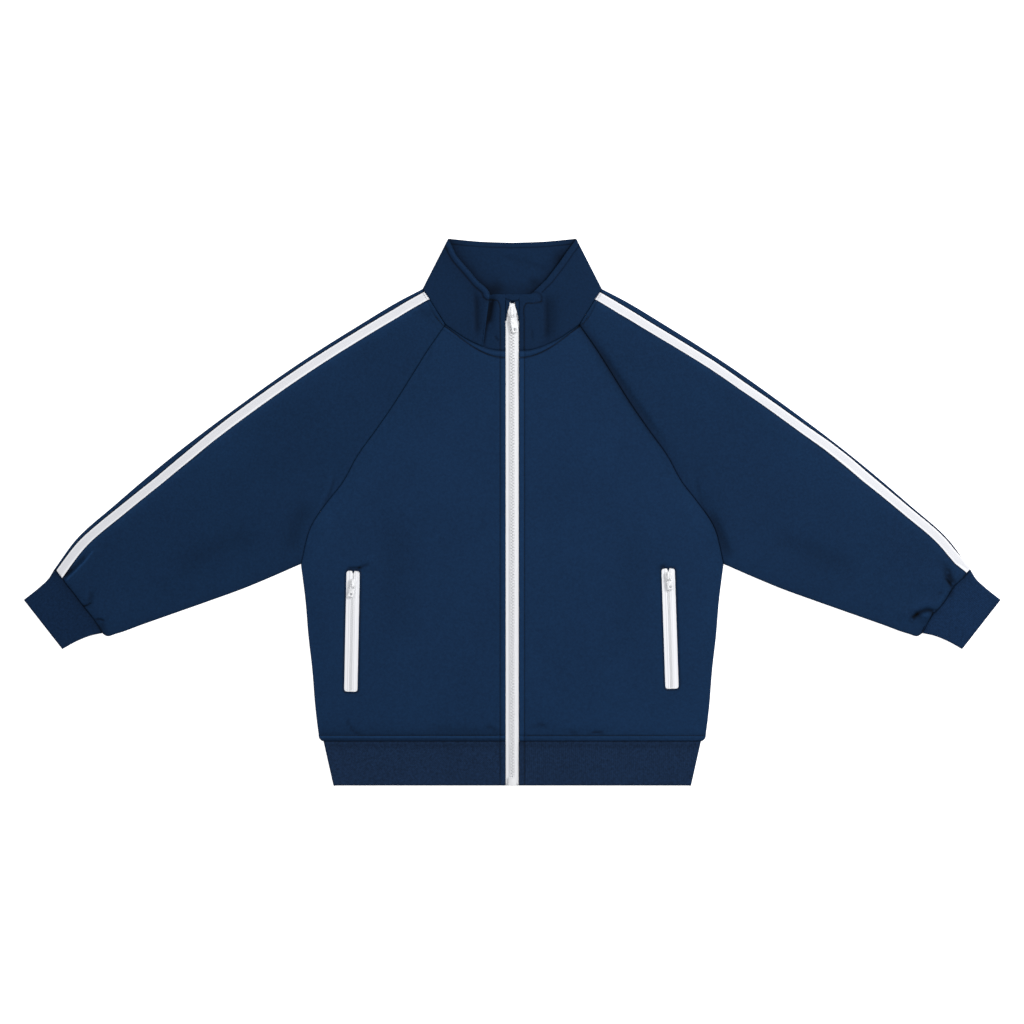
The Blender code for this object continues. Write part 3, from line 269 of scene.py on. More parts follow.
STRIP_CREASES = {
    "r": (
        (4.6, -0.4, ((26.6, 295), (26.8, 283), (28.4, 269), (31.4, 250)), 0.62, 0.25),
        (2.8, -0.4, ((28.6, 284), (32.6, 262), (35.8, 246), (39.6, 226)), 0.62, 0.06),
        (1.1, -0.4, ((32, 286.4), (26, 286), (19.6, 284.8), (17, 279), (16.4, 262),
            (16.3, 214)), 0.4, 0.02),
        (1.8, -0.6, ((23.6, 239), (21.4, 234.6), (17.6, 230)), 0.4),
    ),
    "l": (
        (1.1, -0.4, ((40, 284.2), (34, 282.4), (27, 281.4), (18.4, 281), (16.2, 277),
            (16.1, 262), (16.1, 214)), 0.45, 0.02),
        (2, -0.5, ((25.6, 248), (26.8, 240), (26, 231)), 0.22),
    ),
}

# Stripes: share of the sleeve's length, distance in mm of the tape's upper edge from the fold over
# the arm, measured round the cloth and negative beyond the fold, and the tape's width in mm
STRIPE = {
    "r": (
        (0, 5.6, 11.8), (0.08, 7.4, 12.1), (0.15, 6.6, 12.2), (0.42, 6, 12.5), (0.5, 5.9, 12.6),
        (0.56, 6.9, 12), (0.62, 8.2, 12), (0.7, 9.1, 11.5), (0.76, 7.9, 11.6), (0.82, 6.5, 11.9),
        (0.88, 6.1, 11.7), (0.95, 5, 12.2), (1, 4.2, 12.6),
    ),
    "l": (
        (0, 6.2, 11.5), (0.06, 8.3, 12), (0.12, 8.7, 11.6), (0.22, 8, 11.4), (0.29, 7.3, 11.5),
        (0.37, 7.8, 11.3), (0.43, 7, 11.3), (0.53, 6.2, 11.8), (0.59, 4.4, 12.4), (0.64, 4, 13.1),
        (0.7, 4.9, 12.9), (0.75, 4.6, 12.2), (0.81, 3.9, 12.1), (0.88, 3.4, 12), (0.94, 3.3, 12),
        (0.966, 1.9, 12), (1, -5.2, 12.5),
    ),
}

Pocket = namedtuple("Pocket", "top_mm bottom_mm slider_mm")
POCKETS = {
    "r": Pocket((214.6, -79.5), (217.8, -242.3), (215.4, -98.6)),
    "l": Pocket((210.3, -76.3), (215.7, -238.3), (211, -88.8)),
}

# Chin guard, from its lower end to the middle: its inner and its outer edge (out_mm, up_mm each)
GUARD = (
    (8.3, 259.5, 9.1, 258), (7, 266, 9.1, 266), (6.5, 270.5, 9.1, 271), (4.3, 277.2, 9.1, 279),
    (3.5, 281.5, 9.1, 287), (2.5, 283.4, 9.1, 293.6), (0, 284.2, 0, 293.6),
)

# Painted shade (+) and painted highlights (-) along each front's sewn lines: at the zip's
# stitching and on the rim beside the zip, and at the hem's stitching, on the ridge below it, down
# to the seam, and above it
SewnShade = namedtuple(
    "SewnShade", "zip_stitch zip_rim rim_mm hem_stitch hem_ridge hem_fall above above_mm")
SEWN_SHADE = {"r": SewnShade(0.18, -0.14, 1.6, 0.2, -0.38, 0.3, 0.3, 9),
         "l": SewnShade(0.12, -0.24, 3.6, 0.34, -0.14, 0.05, 0.1, 4)}

# Distances in mm from a panel's edge of its outermost grid lines: closest on the rolled edge and at
# the topstitching. FOLD_STEPS go round a side fold first, TOP_STEPS are at the collar's top edge,
# and GATHER_STEPS are where the sleeve's end is creased.
FLAT_STEPS = MM * np.array((0, 0.1, 0.32, 0.65, 1.1, 1.7, 2.7, 4, 5.4, 6.5, 7.1, 7.6, 8.1, 8.8,
                            10.3, 12.6))
TOP_STEPS = MM * np.r_[0, 0.12, 0.4, 0.8, 1.3, 2, 2.7, np.arange(3.5, 15.5, 0.75)]
GATHER_STEPS = np.r_[FLAT_STEPS, np.arange(14.4, 66, 1.9) * MM]
FOLD_ANGLES = np.radians(np.linspace(0, 90, 5))
FOLD_STEPS = FOLD_RADIUS + np.r_[-FOLD_RADIUS * np.cos(FOLD_ANGLES), MM * np.array(
    (0.6, 1.4, 2.4, 3.4, 4.6, 5.8, 7, 8.2, 9.4, 10.6, 12))]
CUFF_ANGLES = np.radians((0, 15, 32, 50, 70, 90))
CUFF_RIM = MM * np.array((0, 0.15, 0.5, 1.0, 1.7, 2.6, 4))
HEM_ANGLES = np.radians(np.arange(67.5, -90, -22.5))      # also round the collar's folds
HEM_RIM = MM * np.array((0, 0.12, 0.45, 0.95, 1.6, 2.5, 4))
SLOT_STEPS = MM * np.array((9, 7, 5.4, 4.2, 3.3, 2.7, 2.3, 2, 1.7, 1.3, 0.9, 0.55, 0.27, 0.08, 0))
# Shares of the way across a stripe and across the chin guard
STRIPE_ACROSS = np.array((0, 0.02, 0.06, 0.12, 0.2, 0.32, 0.44, 0.56, 0.68, 0.8, 0.88, 0.94, 0.98,
                          1))
GUARD_ACROSS = np.r_[0, 0.04, 0.1, np.linspace(0.18, 0.82, 9), 0.9, 0.96, 1]


# ---------------------------------------------------------------- profiles, curves and distances

def smoothstep(value):
    """Eased from 0 to 1: 3 v squared less 2 v cubed."""
    value = np.clip(value, 0, 1)
    return value * value * (3 - 2 * value)


def rise(value, start_mm, over_mm):
    """A smooth step from nought at start_mm to one at over_mm beyond it."""
    return smoothstep((value - start_mm * MM) / (over_mm * MM))


def bell(distance, half_mm):
    """One at a line and falling away on both sides: exp of minus the square of the distance."""
    return np.exp(-(distance / (half_mm * MM)) ** 2)


def fade(distance, length_mm):
    """One at an edge and falling away from it: exp of minus the distance."""
    return np.exp(-distance / (length_mm * MM))


def quarter(distance, radius_mm):
    """How far a quarter round lies below its crown, at a distance from the edge where it starts."""
    share = np.clip(1 - distance / (radius_mm * MM), 0, 1)
    return radius_mm * MM * (1 - np.sqrt(1 - share ** 2))


def rolled(distance, radius_mm=ROLL_MM):
    """How far the face drops at a distance from an edge that turns under: a quarter round, with a
    slight settling of the cloth beyond it."""
    return quarter(distance, radius_mm) + 0.35 * MM * fade(distance, 3)


def groove(distance, depth_mm=0.45, half_mm=0.9):
    """A line of stitching pulls the cloth down: a bell section with soft shoulders."""
    return depth_mm * MM * (bell(distance, half_mm) + 0.3 * bell(distance, 3.2 * half_mm))


def hermite(rows, slope, span, u, width=1.0):
    """Smooth spans through a table's rows with a slope at each: u runs from 0 to 1 in a span."""
    return ((1 + 2 * u) * (1 - u) ** 2 * rows[span] + u * (1 - u) ** 2 * width * slope[span]
            + u * u * (3 - 2 * u) * rows[span + 1] + u * u * (u - 1) * width * slope[span + 1])


def curve_through(points_mm, samples=240):
    """A smooth path through a table's points: Hermite spans with tangents taken on the chords."""
    knots = np.array(points_mm, float) * MM
    chord = run_of(knots)
    run = np.linspace(0, chord[-1], samples)
    span = np.clip(np.searchsorted(chord, run, side="right") - 1, 0, len(knots) - 2)
    width = np.diff(chord)[span][:, None]
    u = (run[:, None] - chord[span][:, None]) / width
    return hermite(knots, np.gradient(knots, chord, axis=0), span, u, width)


def smooth_rows(table, steps):
    """Catmull-Rom through a table's rows, steps points to a span: each column of the table is
    eased from row to row with the slope between its neighbours."""
    rows = np.array(table, float)
    place = np.linspace(0, len(rows) - 1, (len(rows) - 1) * steps + 1)
    span = np.minimum(place.astype(int), len(rows) - 2)
    return hermite(rows, np.gradient(rows, axis=0), span, (place - span)[:, None])


def run_of(path):
    """Distance along a path at each of its points."""
    return np.r_[0, np.cumsum(np.linalg.norm(np.diff(path, axis=0), axis=1))]


def along(path, share):
    """Points at shares of a path's length."""
    run = run_of(path)
    place = np.asarray(share) * run[-1]
    return np.stack([np.interp(place, run, column) for column in path.T], axis=-1)


def sideways(path, distance):
    """A path moved to the left of its direction."""
    direction = np.gradient(path, axis=0)
    direction /= np.hypot(*direction.T)[:, None]
    return path + distance * np.c_[-direction[:, 1], direction[:, 0]]


def meet(first, second):
    """Two moved paths, one after the other, each ended at the point where they cross."""
    ahead = first[-1] - first[-2]
    behind = second[0] - second[1]
    share = np.linalg.solve(np.c_[ahead, -behind], second[0] - first[-1])[0]
    corner = first[-1] + share * ahead
    return np.vstack([first[:-1], corner]), np.vstack([corner, second[1:]])


def reach(edge, start, end):
    """An edge path with its ends moved onto the pieces that it joins."""
    return np.vstack([start, edge[1:-1], end])


def coons(u, v, left, right, bottom, top):
    """A patch between four edge paths: u runs from left to right and v from bottom to top. It is
    the two ruled patches added, less the bilinear patch of the corners."""
    u = np.asarray(u)[..., None]
    v = np.asarray(v)[..., None]
    sides = (1 - u) * along(left, v[..., 0]) + u * along(right, v[..., 0])
    ends = (1 - v) * along(bottom, u[..., 0]) + v * along(top, u[..., 0])
    corners = ((1 - u) * (1 - v) * left[0] + u * (1 - v) * right[0]
               + (1 - u) * v * left[-1] + u * v * right[-1])
    return sides + ends - corners


def near(points, path, limit_mm=16):
    """Distance from each plan point to a path's nearest segment, exact up to a limit. The path may
    be given by its name in LINES."""
    path = LINES[path] if isinstance(path, str) else path
    every, batch, close_batch = 6, 20000, 4000      # rough steps, and points worked on at a time
    flat = points.reshape(-1, 2)
    rough = path[::every]
    spacing = np.linalg.norm(np.diff(path, axis=0), axis=1).max() * every
    gap = np.empty(len(flat))
    for start in range(0, len(flat), batch):
        part = flat[start:start + batch, None]
        gap[start:start + batch] = np.linalg.norm(part - rough, axis=2).min(axis=1)
    close = np.flatnonzero(gap < limit_mm * MM + spacing)
    first, run = path[:-1], np.diff(path, axis=0)
    length = np.maximum((run ** 2).sum(axis=1), 1e-12)
    for start in range(0, len(close), close_batch):
        chosen = close[start:start + close_batch]
        away = flat[chosen][:, None] - first
        share = np.clip((away * run).sum(axis=2) / length, 0, 1)
        gap[chosen] = np.linalg.norm(away - share[..., None] * run, axis=2).min(axis=1)
    return gap.reshape(points.shape[:-1])


def from_point(points, place_mm):
    """Distance from each plan point to one place."""
    return np.linalg.norm(points - np.array(place_mm) * MM, axis=-1)


def from_line(points, start_mm, end_mm):
    """Distance from each plan point to a straight stretch."""
    start, run = np.array(start_mm) * MM, np.subtract(end_mm, start_mm) * MM
    share = np.clip(((points - start) @ run) / (run @ run), 0, 1)
    return np.linalg.norm(points - start - share[..., None] * run, axis=-1)


LINES = {name: curve_through(table) for name, table in LINE_TABLES.items()}


# ---------------------------------------------------------------- relief of the cloth

def creased(side, plan, creases):
    """Relief and shade of the creases: a bell across each one's curve, fading to nothing at its
    two ends. A hollow gets painted shade and a ridge a painted highlight, unless shade says more."""
    relief, shade = np.zeros((2, *plan.shape[:-1]))
    for crease in (Crease(*row) for row in creases[side]):
        path = curve_through(crease.path_mm, samples=25)
        ends = np.minimum(*(np.linalg.norm(plan - end, axis=-1) for end in (path[0], path[-1])))
        line = (smoothstep(ends / (crease.fade * run_of(path)[-1]))
                * bell(near(plan, path, 3 * crease.half_mm), crease.half_mm))
        relief += crease.height_mm * MM * line
        # Painted shade in a hollow, a painted highlight on a ridge
        usual = -crease.height_mm * (0.22 if crease.height_mm < 0 else 0.08)
        shade += (usual if crease.shade is None else crease.shade) * line
    return relief, shade


def laid(side, plan):
    """Height of the upper layer's outer face: the laid level, lower towards the folded edges and
    along the raglan seam, higher towards the neck and the cuff, with the soft folds added."""
    neck = np.maximum(np.hypot(plan[..., 0] / 1.25, plan[..., 1] - 300 * MM) - 90 * MM, 0)
    top = LAID_TOP + 1.5 * MM * bell(neck, 45) - 0.6 * MM * bell(near(plan, "raglan_front"), 12)
    top += 0.8 * MM * bell(near(plan, f"cuff_{side}", 60), 30)
    for start_mm, end_mm, half_mm, height_mm in FOLDS[side]:
        top += height_mm * MM * bell(from_line(plan, start_mm, end_mm), half_mm)
    return top


def settled(top, plan, edges):
    """The laid face kept within its least and greatest height, and eased down to folded edges."""
    edge = np.full(plan.shape[:-1], EDGE_REACH_MM * MM)
    for name in edges:
        edge = np.minimum(edge, near(plan, name, EDGE_REACH_MM))
    return EDGE_TOP + (np.clip(top, LEAST_TOP, MOST_TOP) - EDGE_TOP) * rise(edge, 0, EDGE_REACH_MM)


def round_edges(height, radius, angles):
    """Carries a layer's outermost columns round its two folded edges: sines of the angles."""
    count = len(angles)
    for edge, inner in ((slice(0, count), count - 1), (slice(-1, -count - 1, -1), -count)):
        height[:, edge] = radius + (height[:, [inner]] - radius) * np.sin(angles)
    return height


# ---------------------------------------------------------------- meshes

def put(name, data):
    """A new object of these data in the scene."""
    made = bpy.data.objects.new(name, data)
    bpy.context.scene.collection.objects.link(made)
    return made


def finish_mesh(piece, material, node="", body=ROOT):
    piece.data.materials.append(material)
    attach(piece, body)
    if node:
        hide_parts(node)
    return piece


def mesh_object(name, points, faces, uv=None, shade=None, smooth=True):
    """An object from points (n, 3) and a list of face arrays. uv holds one place for each corner of
    the faces, and shade each point's painted shade: how much darker than the open cloth its colour
    is drawn, and below nought how much lighter, as a painted highlight."""
    mesh = bpy.data.meshes.new(name)
    mesh.from_pydata(points.tolist(), [], [face for group in faces for face in group.tolist()])
    if uv is not None:
        layer = mesh.uv_layers.new(name="cloth")
        layer.data.foreach_set("uv", np.ascontiguousarray(uv, dtype=np.float32).ravel())
    if shade is not None:
        # Painted shade, which the knit materials darken their colour by
        layer = mesh.attributes.new("shade", "FLOAT", "POINT")
        layer.data.foreach_set("value", np.ascontiguousarray(shade, dtype=np.float32).ravel())
    if smooth:
        mesh.shade_smooth()
    mesh.update()
    return put(name, mesh)


def grid_faces(rows, columns, closed=False, flip=False):
    """Corner indices of the quads of a grid, and the same in a grid with its first column repeated
    at the end, which is what a closed strip's cloth map needs."""
    width = columns + closed
    spot = np.arange(rows * width).reshape(rows, width)
    quads = np.stack([spot[:-1, :-1], spot[:-1, 1:], spot[1:, 1:], spot[1:, :-1]], axis=-1)
    quads = quads.reshape(-1, 4)
    if flip:
        quads = quads[:, ::-1]
    row, column = np.divmod(quads, width)
    return row * columns + column % columns, quads


def rim_of(spot):
    """The outermost entries of a grid of indices, in order round it."""
    return np.r_[spot[0], spot[1:, -1], spot[-1, -2::-1], spot[-2:0:-1, 0]]


def cloth_map(points, closed=False):
    """Distances along the cloth: u from column to column and v from row to row, in metres."""
    ring = np.concatenate([points, points[:, :1]], axis=1) if closed else points
    u = np.cumsum(np.linalg.norm(np.diff(ring, axis=1, prepend=ring[:, :1]), axis=2), axis=1)
    v = np.cumsum(np.linalg.norm(np.diff(ring, axis=0, prepend=ring[:1]), axis=2), axis=0)
    return np.stack([u, v], axis=-1).reshape(-1, 2)


def thicken(piece, wall):
    """A Solidify that gives cloth its thickness, inwards from the outer face."""
    solid = piece.modifiers.new("wall", "SOLIDIFY")
    solid.thickness, solid.offset = wall, -1
    return piece


def add_shell(name, points, wall, closed=False, flip=False, shade=None):
    """A wall of cloth: quads over a grid of outer points (rows, columns, xyz), with a thickness.
    closed joins the last column to the first."""
    quads, mapped = grid_faces(*points.shape[:2], closed, flip)
    uv = cloth_map(points, closed)[mapped.ravel()]
    return thicken(mesh_object(name, points.reshape(-1, 3), [quads], uv, shade), wall)


def add_tube(name, upper, lower, shade, wall, side):
    """A flat tube: each row goes over the upper layer and back along the lower one."""
    ring = np.concatenate([upper, lower[:, -2:0:-1]], axis=1)
    shade = np.pad(shade, ((0, 0), (0, ring.shape[1] - shade.shape[1])))
    return add_shell(name, ring, wall, closed=True, flip=side == "r", shade=shade)


def add_wall(name, outer, inner, shade, inner_shade):
    """A closed wall between an outer and an inner grid of the same size, joined round its rim."""
    rows, columns = outer.shape[:2]
    count = rows * columns
    quads, mapped = grid_faces(rows, columns, flip=True)
    rim = rim_of(np.arange(count).reshape(rows, columns))
    after = np.roll(rim, -1)
    band = np.stack([after, after + count, rim + count, rim], axis=-1)
    corners = np.concatenate([mapped, mapped[:, ::-1], band % count])
    points, both = (np.concatenate(pair) for pair in (
        (outer.reshape(-1, 3), inner.reshape(-1, 3)), (shade.ravel(), inner_shade.ravel())))
    return mesh_object(name, points, [quads, quads[:, ::-1] + count, band],
                       cloth_map(outer)[corners.ravel()], both)


def add_prisms(name, rings, flip=False, smooth=True):
    """Many small closed forms in one object: rings is (form, ring, corner, xyz), with walls from
    ring to ring and a cap at both ends."""
    count, levels, sides = rings.shape[:3]
    base = np.arange((levels - 1) * sides).reshape(-1, sides)
    after = np.roll(base, -1, axis=1)
    walls = np.stack([base, after, after + sides, base + sides], axis=-1).reshape(-1, 4)
    caps = np.stack([np.arange(sides)[::-1], np.arange(sides) + (levels - 1) * sides])
    first = levels * sides * np.arange(count)[:, None, None]
    faces = [((loop[:, ::-1] if flip else loop) + first).reshape(-1, loop.shape[1])
             for loop in (walls, caps)]
    return mesh_object(name, rings.reshape(-1, 3), faces, smooth=smooth)


def normals(points):
    """Unit normals of a grid, crossed from its two directions."""
    normal = np.cross(np.gradient(points, axis=1), np.gradient(points, axis=0))
    return normal / np.maximum(np.linalg.norm(normal, axis=2, keepdims=True), 1e-12)


def placed(side, plan, height):
    """Points in space from one side's plan points and heights."""
    return np.stack([SIDES[side] * plan[..., 0], plan[..., 1], height], axis=-1)


def shares(width, first, last, count):
    """Grid lines across a span as shares of it: first steps from its start, last steps from its
    end, and count even ones between. width may differ from row to row."""
    width = np.asarray(width, float)
    start = np.broadcast_to(first, width.shape[:-1] + (first.shape[-1],)) / width
    end = 1 - np.broadcast_to(last, width.shape[:-1] + (last.shape[-1],))[..., ::-1] / width
    middle = np.linspace(0, 1, count + 2)[1:-1]
    between = start[..., -1:] + (end[..., :1] - start[..., -1:]) * middle
    return np.concatenate([start, between, end], axis=-1)


def panel_grid(left, right, first, last, low, high, columns, rows):
    """Shares (u, v) of a panel's grid between its left and right edge paths. Columns start with the
    steps first from the left and end with last; rows start with low from the bottom and end with
    high. columns and rows are the even ones between."""
    left_run, right_run = run_of(left)[-1], run_of(right)[-1]
    v_line = shares((left_run + right_run) / 2 + np.zeros(1), low, high, rows)
    width = np.linalg.norm(along(left, v_line) - along(right, v_line), axis=1)
    first = first(v_line) if callable(first) else first
    u = shares(width[:, None], first, last, columns)
    u_line = u[len(u) // 2]
    length = (1 - u_line) * left_run + u_line * right_run
    v = shares(length[:, None], low, high, rows).T
    return u, v


def armhole(layer, gap):
    """The sleeve's end from the neck point down to the armpit, moved off the seam by gap."""
    neck, raglan = meet(sideways(LINES[f"neck_{layer}_sleeve"], gap),
                        sideways(LINES[f"raglan_{layer}"], gap))
    return np.vstack([neck, raglan[1:]])


# ---------------------------------------------------------------- sleeves, stripes and cuffs

def stripe_place(side, run):
    """Distance of a stripe's upper edge from the fold over the arm, and its width, row by row."""
    table = np.array(STRIPE[side])
    return [np.interp(run / run[-1], table[:, 0], table[:, k])[:, None] * MM for k in (1, 2)]


def sleeve_top(side, plan):
    """Outer face of a sleeve and its painted shade: laid and creased, rolled under at the armhole
    and at the cuff, where its edge is gathered into the seam."""
    relief, shade = creased(side, plan, SLEEVE_CREASES)
    top = settled(laid(side, plan) + relief, plan, ("overarm", "underarm"))
    raglan, cuff = near(plan, "raglan_front", 30), near(plan, f"cuff_{side}", 30)
    arm = np.minimum(raglan, near(plan, "neck_front_sleeve"))
    top -= rolled(arm - HALF_GAP) + 1.1 * rolled(cuff - HALF_GAP)
    # Painted shade: a little over the whole sleeve, more at the seams and the fold under the arm
    shade += 0.1 + 0.25 * bell(arm, 1.4) + 0.5 * fade(cuff, 1.2) + 0.14 * fade(cuff, 5)
    shade += 0.2 * fade(near(plan, "underarm"), 4)
    over = near(plan, "overarm", 50)
    inset, width = stripe_place(side, run_of(plan[:, STRIPE_COLUMN]))
    inset = inset - FOLD_RADIUS * (pi / 2 - 1)    # a quarter round is longer than its plan by this
    beside = np.maximum(over - inset - width, 0)
    edge = bell(beside, 0.9)
    # Painted shade along both edges of the stripe
    shade += 0.5 * edge + 0.3 * bell(over - inset, 1)
    # Painted highlight on the turn above the stripe, which faces away from the light
    shade -= 0.62 * rise(inset - over, 0.6, 1.2)
    # Painted reflection of the white tape on the cloth beside the stripe's lower edge
    shade -= (0.45 if side == "r" else 0.22) * (fade(beside, 5) - edge)
    # Painted shade in a band along the raglan seam on the left sleeve
    if side == "l":
        shade += (0.3 * rise(plan[..., 1], 40, 110) + 0.12) * np.exp(-(raglan / (5.8 * MM)) ** 1.3)
    return top, shade


def add_sleeve(side):
    """A flat tube: the upper layer, round at both folds, and back along the underside."""
    cuff = sideways(LINES[f"cuff_{side}"], -HALF_GAP)
    layers = []
    for layer, columns, steps in (("front", 78, FOLD_STEPS), ("back", 24, FOLD_STEPS[:6])):
        arm = armhole(layer, HALF_GAP)
        over = reach(LINES["overarm"], arm[0], cuff[0])
        under = reach(LINES["underarm"], arm[-1], cuff[-1])
        v, u = panel_grid(over, under, steps, steps, FLAT_STEPS, GATHER_STEPS, columns, SLEEVE_ROWS)
        plan = coons(u, v, arm, cuff, over, under)
        height = np.zeros(plan.shape[:2])
        if layer == "front":
            height, shade = sleeve_top(side, plan)
        layers.append(placed(side, plan, round_edges(height, FOLD_RADIUS, FOLD_ANGLES)))
    sleeve = add_tube(f"sleeve_{side}_cloth", *layers, shade, KNIT, side)
    return finish_mesh(sleeve, KNIT_CLOTH, f"sleeve_{side}"), *layers


def round_the_fold(upper, lower, distance):
    """Points at distances from the fold over the arm, measured round the cloth of each row,
    positive over the upper layer and negative under the arm."""
    under_columns, upper_columns = 8, 34
    ring = np.concatenate([lower[:, under_columns:0:-1], upper[:, :upper_columns]], axis=1)
    run = np.cumsum(np.linalg.norm(np.diff(ring, axis=1, prepend=ring[:, :1]), axis=2), axis=1)
    run -= run[:, [under_columns]]
    place = np.clip((run[:, None, :] <= distance[..., None]).sum(axis=2) - 1, 0, ring.shape[1] - 2)
    rows = np.arange(len(ring))[:, None]
    start, end = run[rows, place], run[rows, place + 1]
    share = ((distance - start) / (end - start))[..., None]
    return (1 - share) * ring[rows, place] + share * ring[rows, place + 1]


def add_stripe(side, upper, lower):
    """A satin tape that follows the cloth at a set distance from the fold, a little crowned
    between its two sewn edges: its middle stands proud by a flat parabola."""
    inset, width = stripe_place(side, run_of(upper[:, STRIPE_COLUMN]))
    base = round_the_fold(upper, lower, inset + width * STRIPE_ACROSS)
    normal = normals(base)
    off_middle = np.abs(2 * STRIPE_ACROSS - 1)
    proud = TAPE_WALL + MM * (0.12 + 0.25 * (1 - off_middle ** 2) - 0.3 * (off_middle > 0.97))
    points = base + proud[:, None] * normal * np.sign(normal[..., 2:].mean())
    points[..., 2] = np.maximum(points[..., 2], -0.05 * MM)
    tape = add_shell(f"stripe_{side}_tape", points, TAPE_WALL, flip=side == "r")
    return finish_mesh(tape, SATIN_TAPE, f"stripe_{side}"), points


def add_cuff(side):
    """A flat tube of rib from the cuff seam to the open end, whose rim is turned in."""
    seam = sideways(LINES[f"cuff_{side}"], -4 * HALF_GAP)    # a little under the sleeve's edge
    over, under = LINES["cuff_upper"], LINES["cuff_lower"]
    end = np.linspace(over[-1], under[-1], 60)
    over, under = reach(over, seam[0], end[0]), reach(under, seam[-1], end[-1])
    radius = BAND_TOP / 2
    arc = radius * (1 - np.cos(CUFF_ANGLES))
    plans = []
    for columns in (44, 16):
        v, u = panel_grid(over, under, arc, arc, FLAT_STEPS[:9], CUFF_RIM, columns, 14)
        plans.append(coons(u, v, seam, end, over, under))
    plan, plan_low = plans
    gap, far = near(plan, f"cuff_{side}"), near(plan, end)
    across = run_of(seam)[-1] * np.linspace(0, 1, plan.shape[1])
    top = BAND_TOP - rolled(gap - 2 * HALF_GAP, BAND_ROLL_MM) - quarter(far, 1.5)
    top += 0.25 * MM * np.sin(across / (17 * MM) + 1.3) * rise(far, 0, 60)
    low = 0.6 * MM * (1 - rise(near(plan_low, end), 0, 1.5))
    layers = [placed(side, flat, round_edges(height, radius, CUFF_ANGLES))
              for flat, height in ((plan, top), (plan_low, low))]
    # Painted shade along the seam and the open end, over the whole right cuff, and in a spot on the
    # left cuff
    shade = 0.4 * fade(gap, 1.3) + 0.2 * fade(gap, 6) + 0.3 * fade(far, 1.3)
    shade += 0.14 if side == "r" else 0.35 * bell(from_point(plan, (590, -108)), 5)
    cuff = add_tube(f"cuff_{side}_rib", *layers, shade, RIB, side)
    return finish_mesh(cuff, CUFF_RIB, f"cuff_{side}")


# ---------------------------------------------------------------- body panels and hem band

def slot_frame(side):
    """Middle of a pocket's slot, its direction up the slot, and its length."""
    top, bottom = np.array(POCKETS[side].top_mm) * MM, np.array(POCKETS[side].bottom_mm) * MM
    length = np.linalg.norm(top - bottom)
    return (top + bottom) / 2, (top - bottom) / length, length


def slot_place(side, plan):
    """A plan point's nearest point in the slot's core, and its distance past the slot's edge. The
    slot is its core, a straight bar, grown by the corner radius."""
    middle, run, length = slot_frame(side)
    across = np.array([run[1], -run[0]])
    offset = plan - middle
    x, y = offset @ across, offset @ run
    half = np.array([SLOT_WIDTH / 2 - SLOT_RADIUS, length / 2 - SLOT_RADIUS])
    core = (middle + np.clip(x, -half[0], half[0])[..., None] * across
            + np.clip(y, -half[1], half[1])[..., None] * run)
    return core, np.linalg.norm(plan - core, axis=-1) - SLOT_RADIUS


def front_top(side, plan):
    """Outer face of a front and its painted shade: laid and creased, rolled under at the seams,
    the zip and the pocket's slot, pulled down along the topstitching, and thicker over the seam
    allowances."""
    relief, shade = creased(side, plan, FRONT_CREASES)
    top = settled(laid(side, plan) + relief, plan, ("overarm", "underarm", "side"))
    from_zip, from_hem = plan[..., 0] - ZIP_HALF, plan[..., 1] - HEM_SEAM
    raglan, neck = near(plan, "raglan_front", 30), near(plan, "neck_front_body")
    stitched = near(plan, "neck_topstitch")
    slot = slot_place(side, plan)[1]
    past_slot = np.maximum(slot, 0)
    for distance in (raglan - HALF_GAP, neck - HALF_GAP, from_zip, from_hem - HALF_GAP):
        top -= rolled(np.maximum(distance, 0))
    top -= rolled(past_slot, 1)
    allowance = TOPSTITCH - np.minimum(np.minimum(from_zip, from_hem), neck)
    top += 0.35 * MM * rise(allowance, 0, 1.5)
    top -= groove(from_zip - TOPSTITCH) + groove(from_hem - TOPSTITCH) + groove(stitched)
    top -= groove(slot - POCKET_STITCH, 0.3, 0.7)
    sewn_shade = SEWN_SHADE[side]
    # Painted shade at the seams, the neck's stitching and the zip's edge, with painted highlights
    # on the ridge below the neck seam and on the rim beside the zip
    shade += 0.25 * bell(raglan, 1.4) + 0.5 * fade(neck, 1.6) + 0.75 * bell(stitched, 1)
    shade -= 0.22 * bell(neck - 3.4 * MM, 1.2)
    shade += sewn_shade.zip_stitch * bell(from_zip - TOPSTITCH, 1.1) + 0.42 * fade(from_zip, 0.6)
    shade += sewn_shade.zip_rim * bell(from_zip - sewn_shade.rim_mm * MM, 0.75 * sewn_shade.rim_mm)
    # Painted shade round the pocket's slot, more below its bottom end
    middle, run, length = slot_frame(side)
    under = rise((middle - plan) @ run - length / 2, -1, 1.5)
    shade += 0.4 * fade(past_slot, 1) + under * 0.35 * fade(past_slot, 1.6)
    # Painted shade at the hem's stitching, above it and down to the seam, and a painted highlight
    # on the ridge below the stitching
    over = from_hem - TOPSTITCH
    shade += sewn_shade.hem_stitch * bell(over, 0.9)
    shade += sewn_shade.above * (over > 0) * fade(np.maximum(over, 0), sewn_shade.above_mm)
    shade += sewn_shade.hem_ridge * bell(from_hem - 5.9 * MM, 1)
    shade += sewn_shade.hem_fall * bell(from_hem - 2.6 * MM, 2) + 0.55 * fade(from_hem, 1.2)
    # Painted shade along the raglan seam on the left front, more towards its top
    if side == "l":
        shade += (0.4 * rise(plan[..., 1], 40, 110) + 0.1) * fade(raglan, 4)
    return top, shade


def body_edge(layer, gap):
    """A body panel's outer edge, up the side fold and the raglan seam, its neck edge, and the share
    of the outer edge at which the side fold ends. gap moves the neck edge off the seam."""
    raglan, neck = meet(sideways(LINES[f"raglan_{layer}"], -HALF_GAP)[::-1],
                        sideways(LINES[f"neck_{layer}_body"], gap))
    path = np.vstack([LINES["side"][:-1], raglan])
    return path, neck, run_of(LINES["side"])[-1] / run_of(path)[-1]


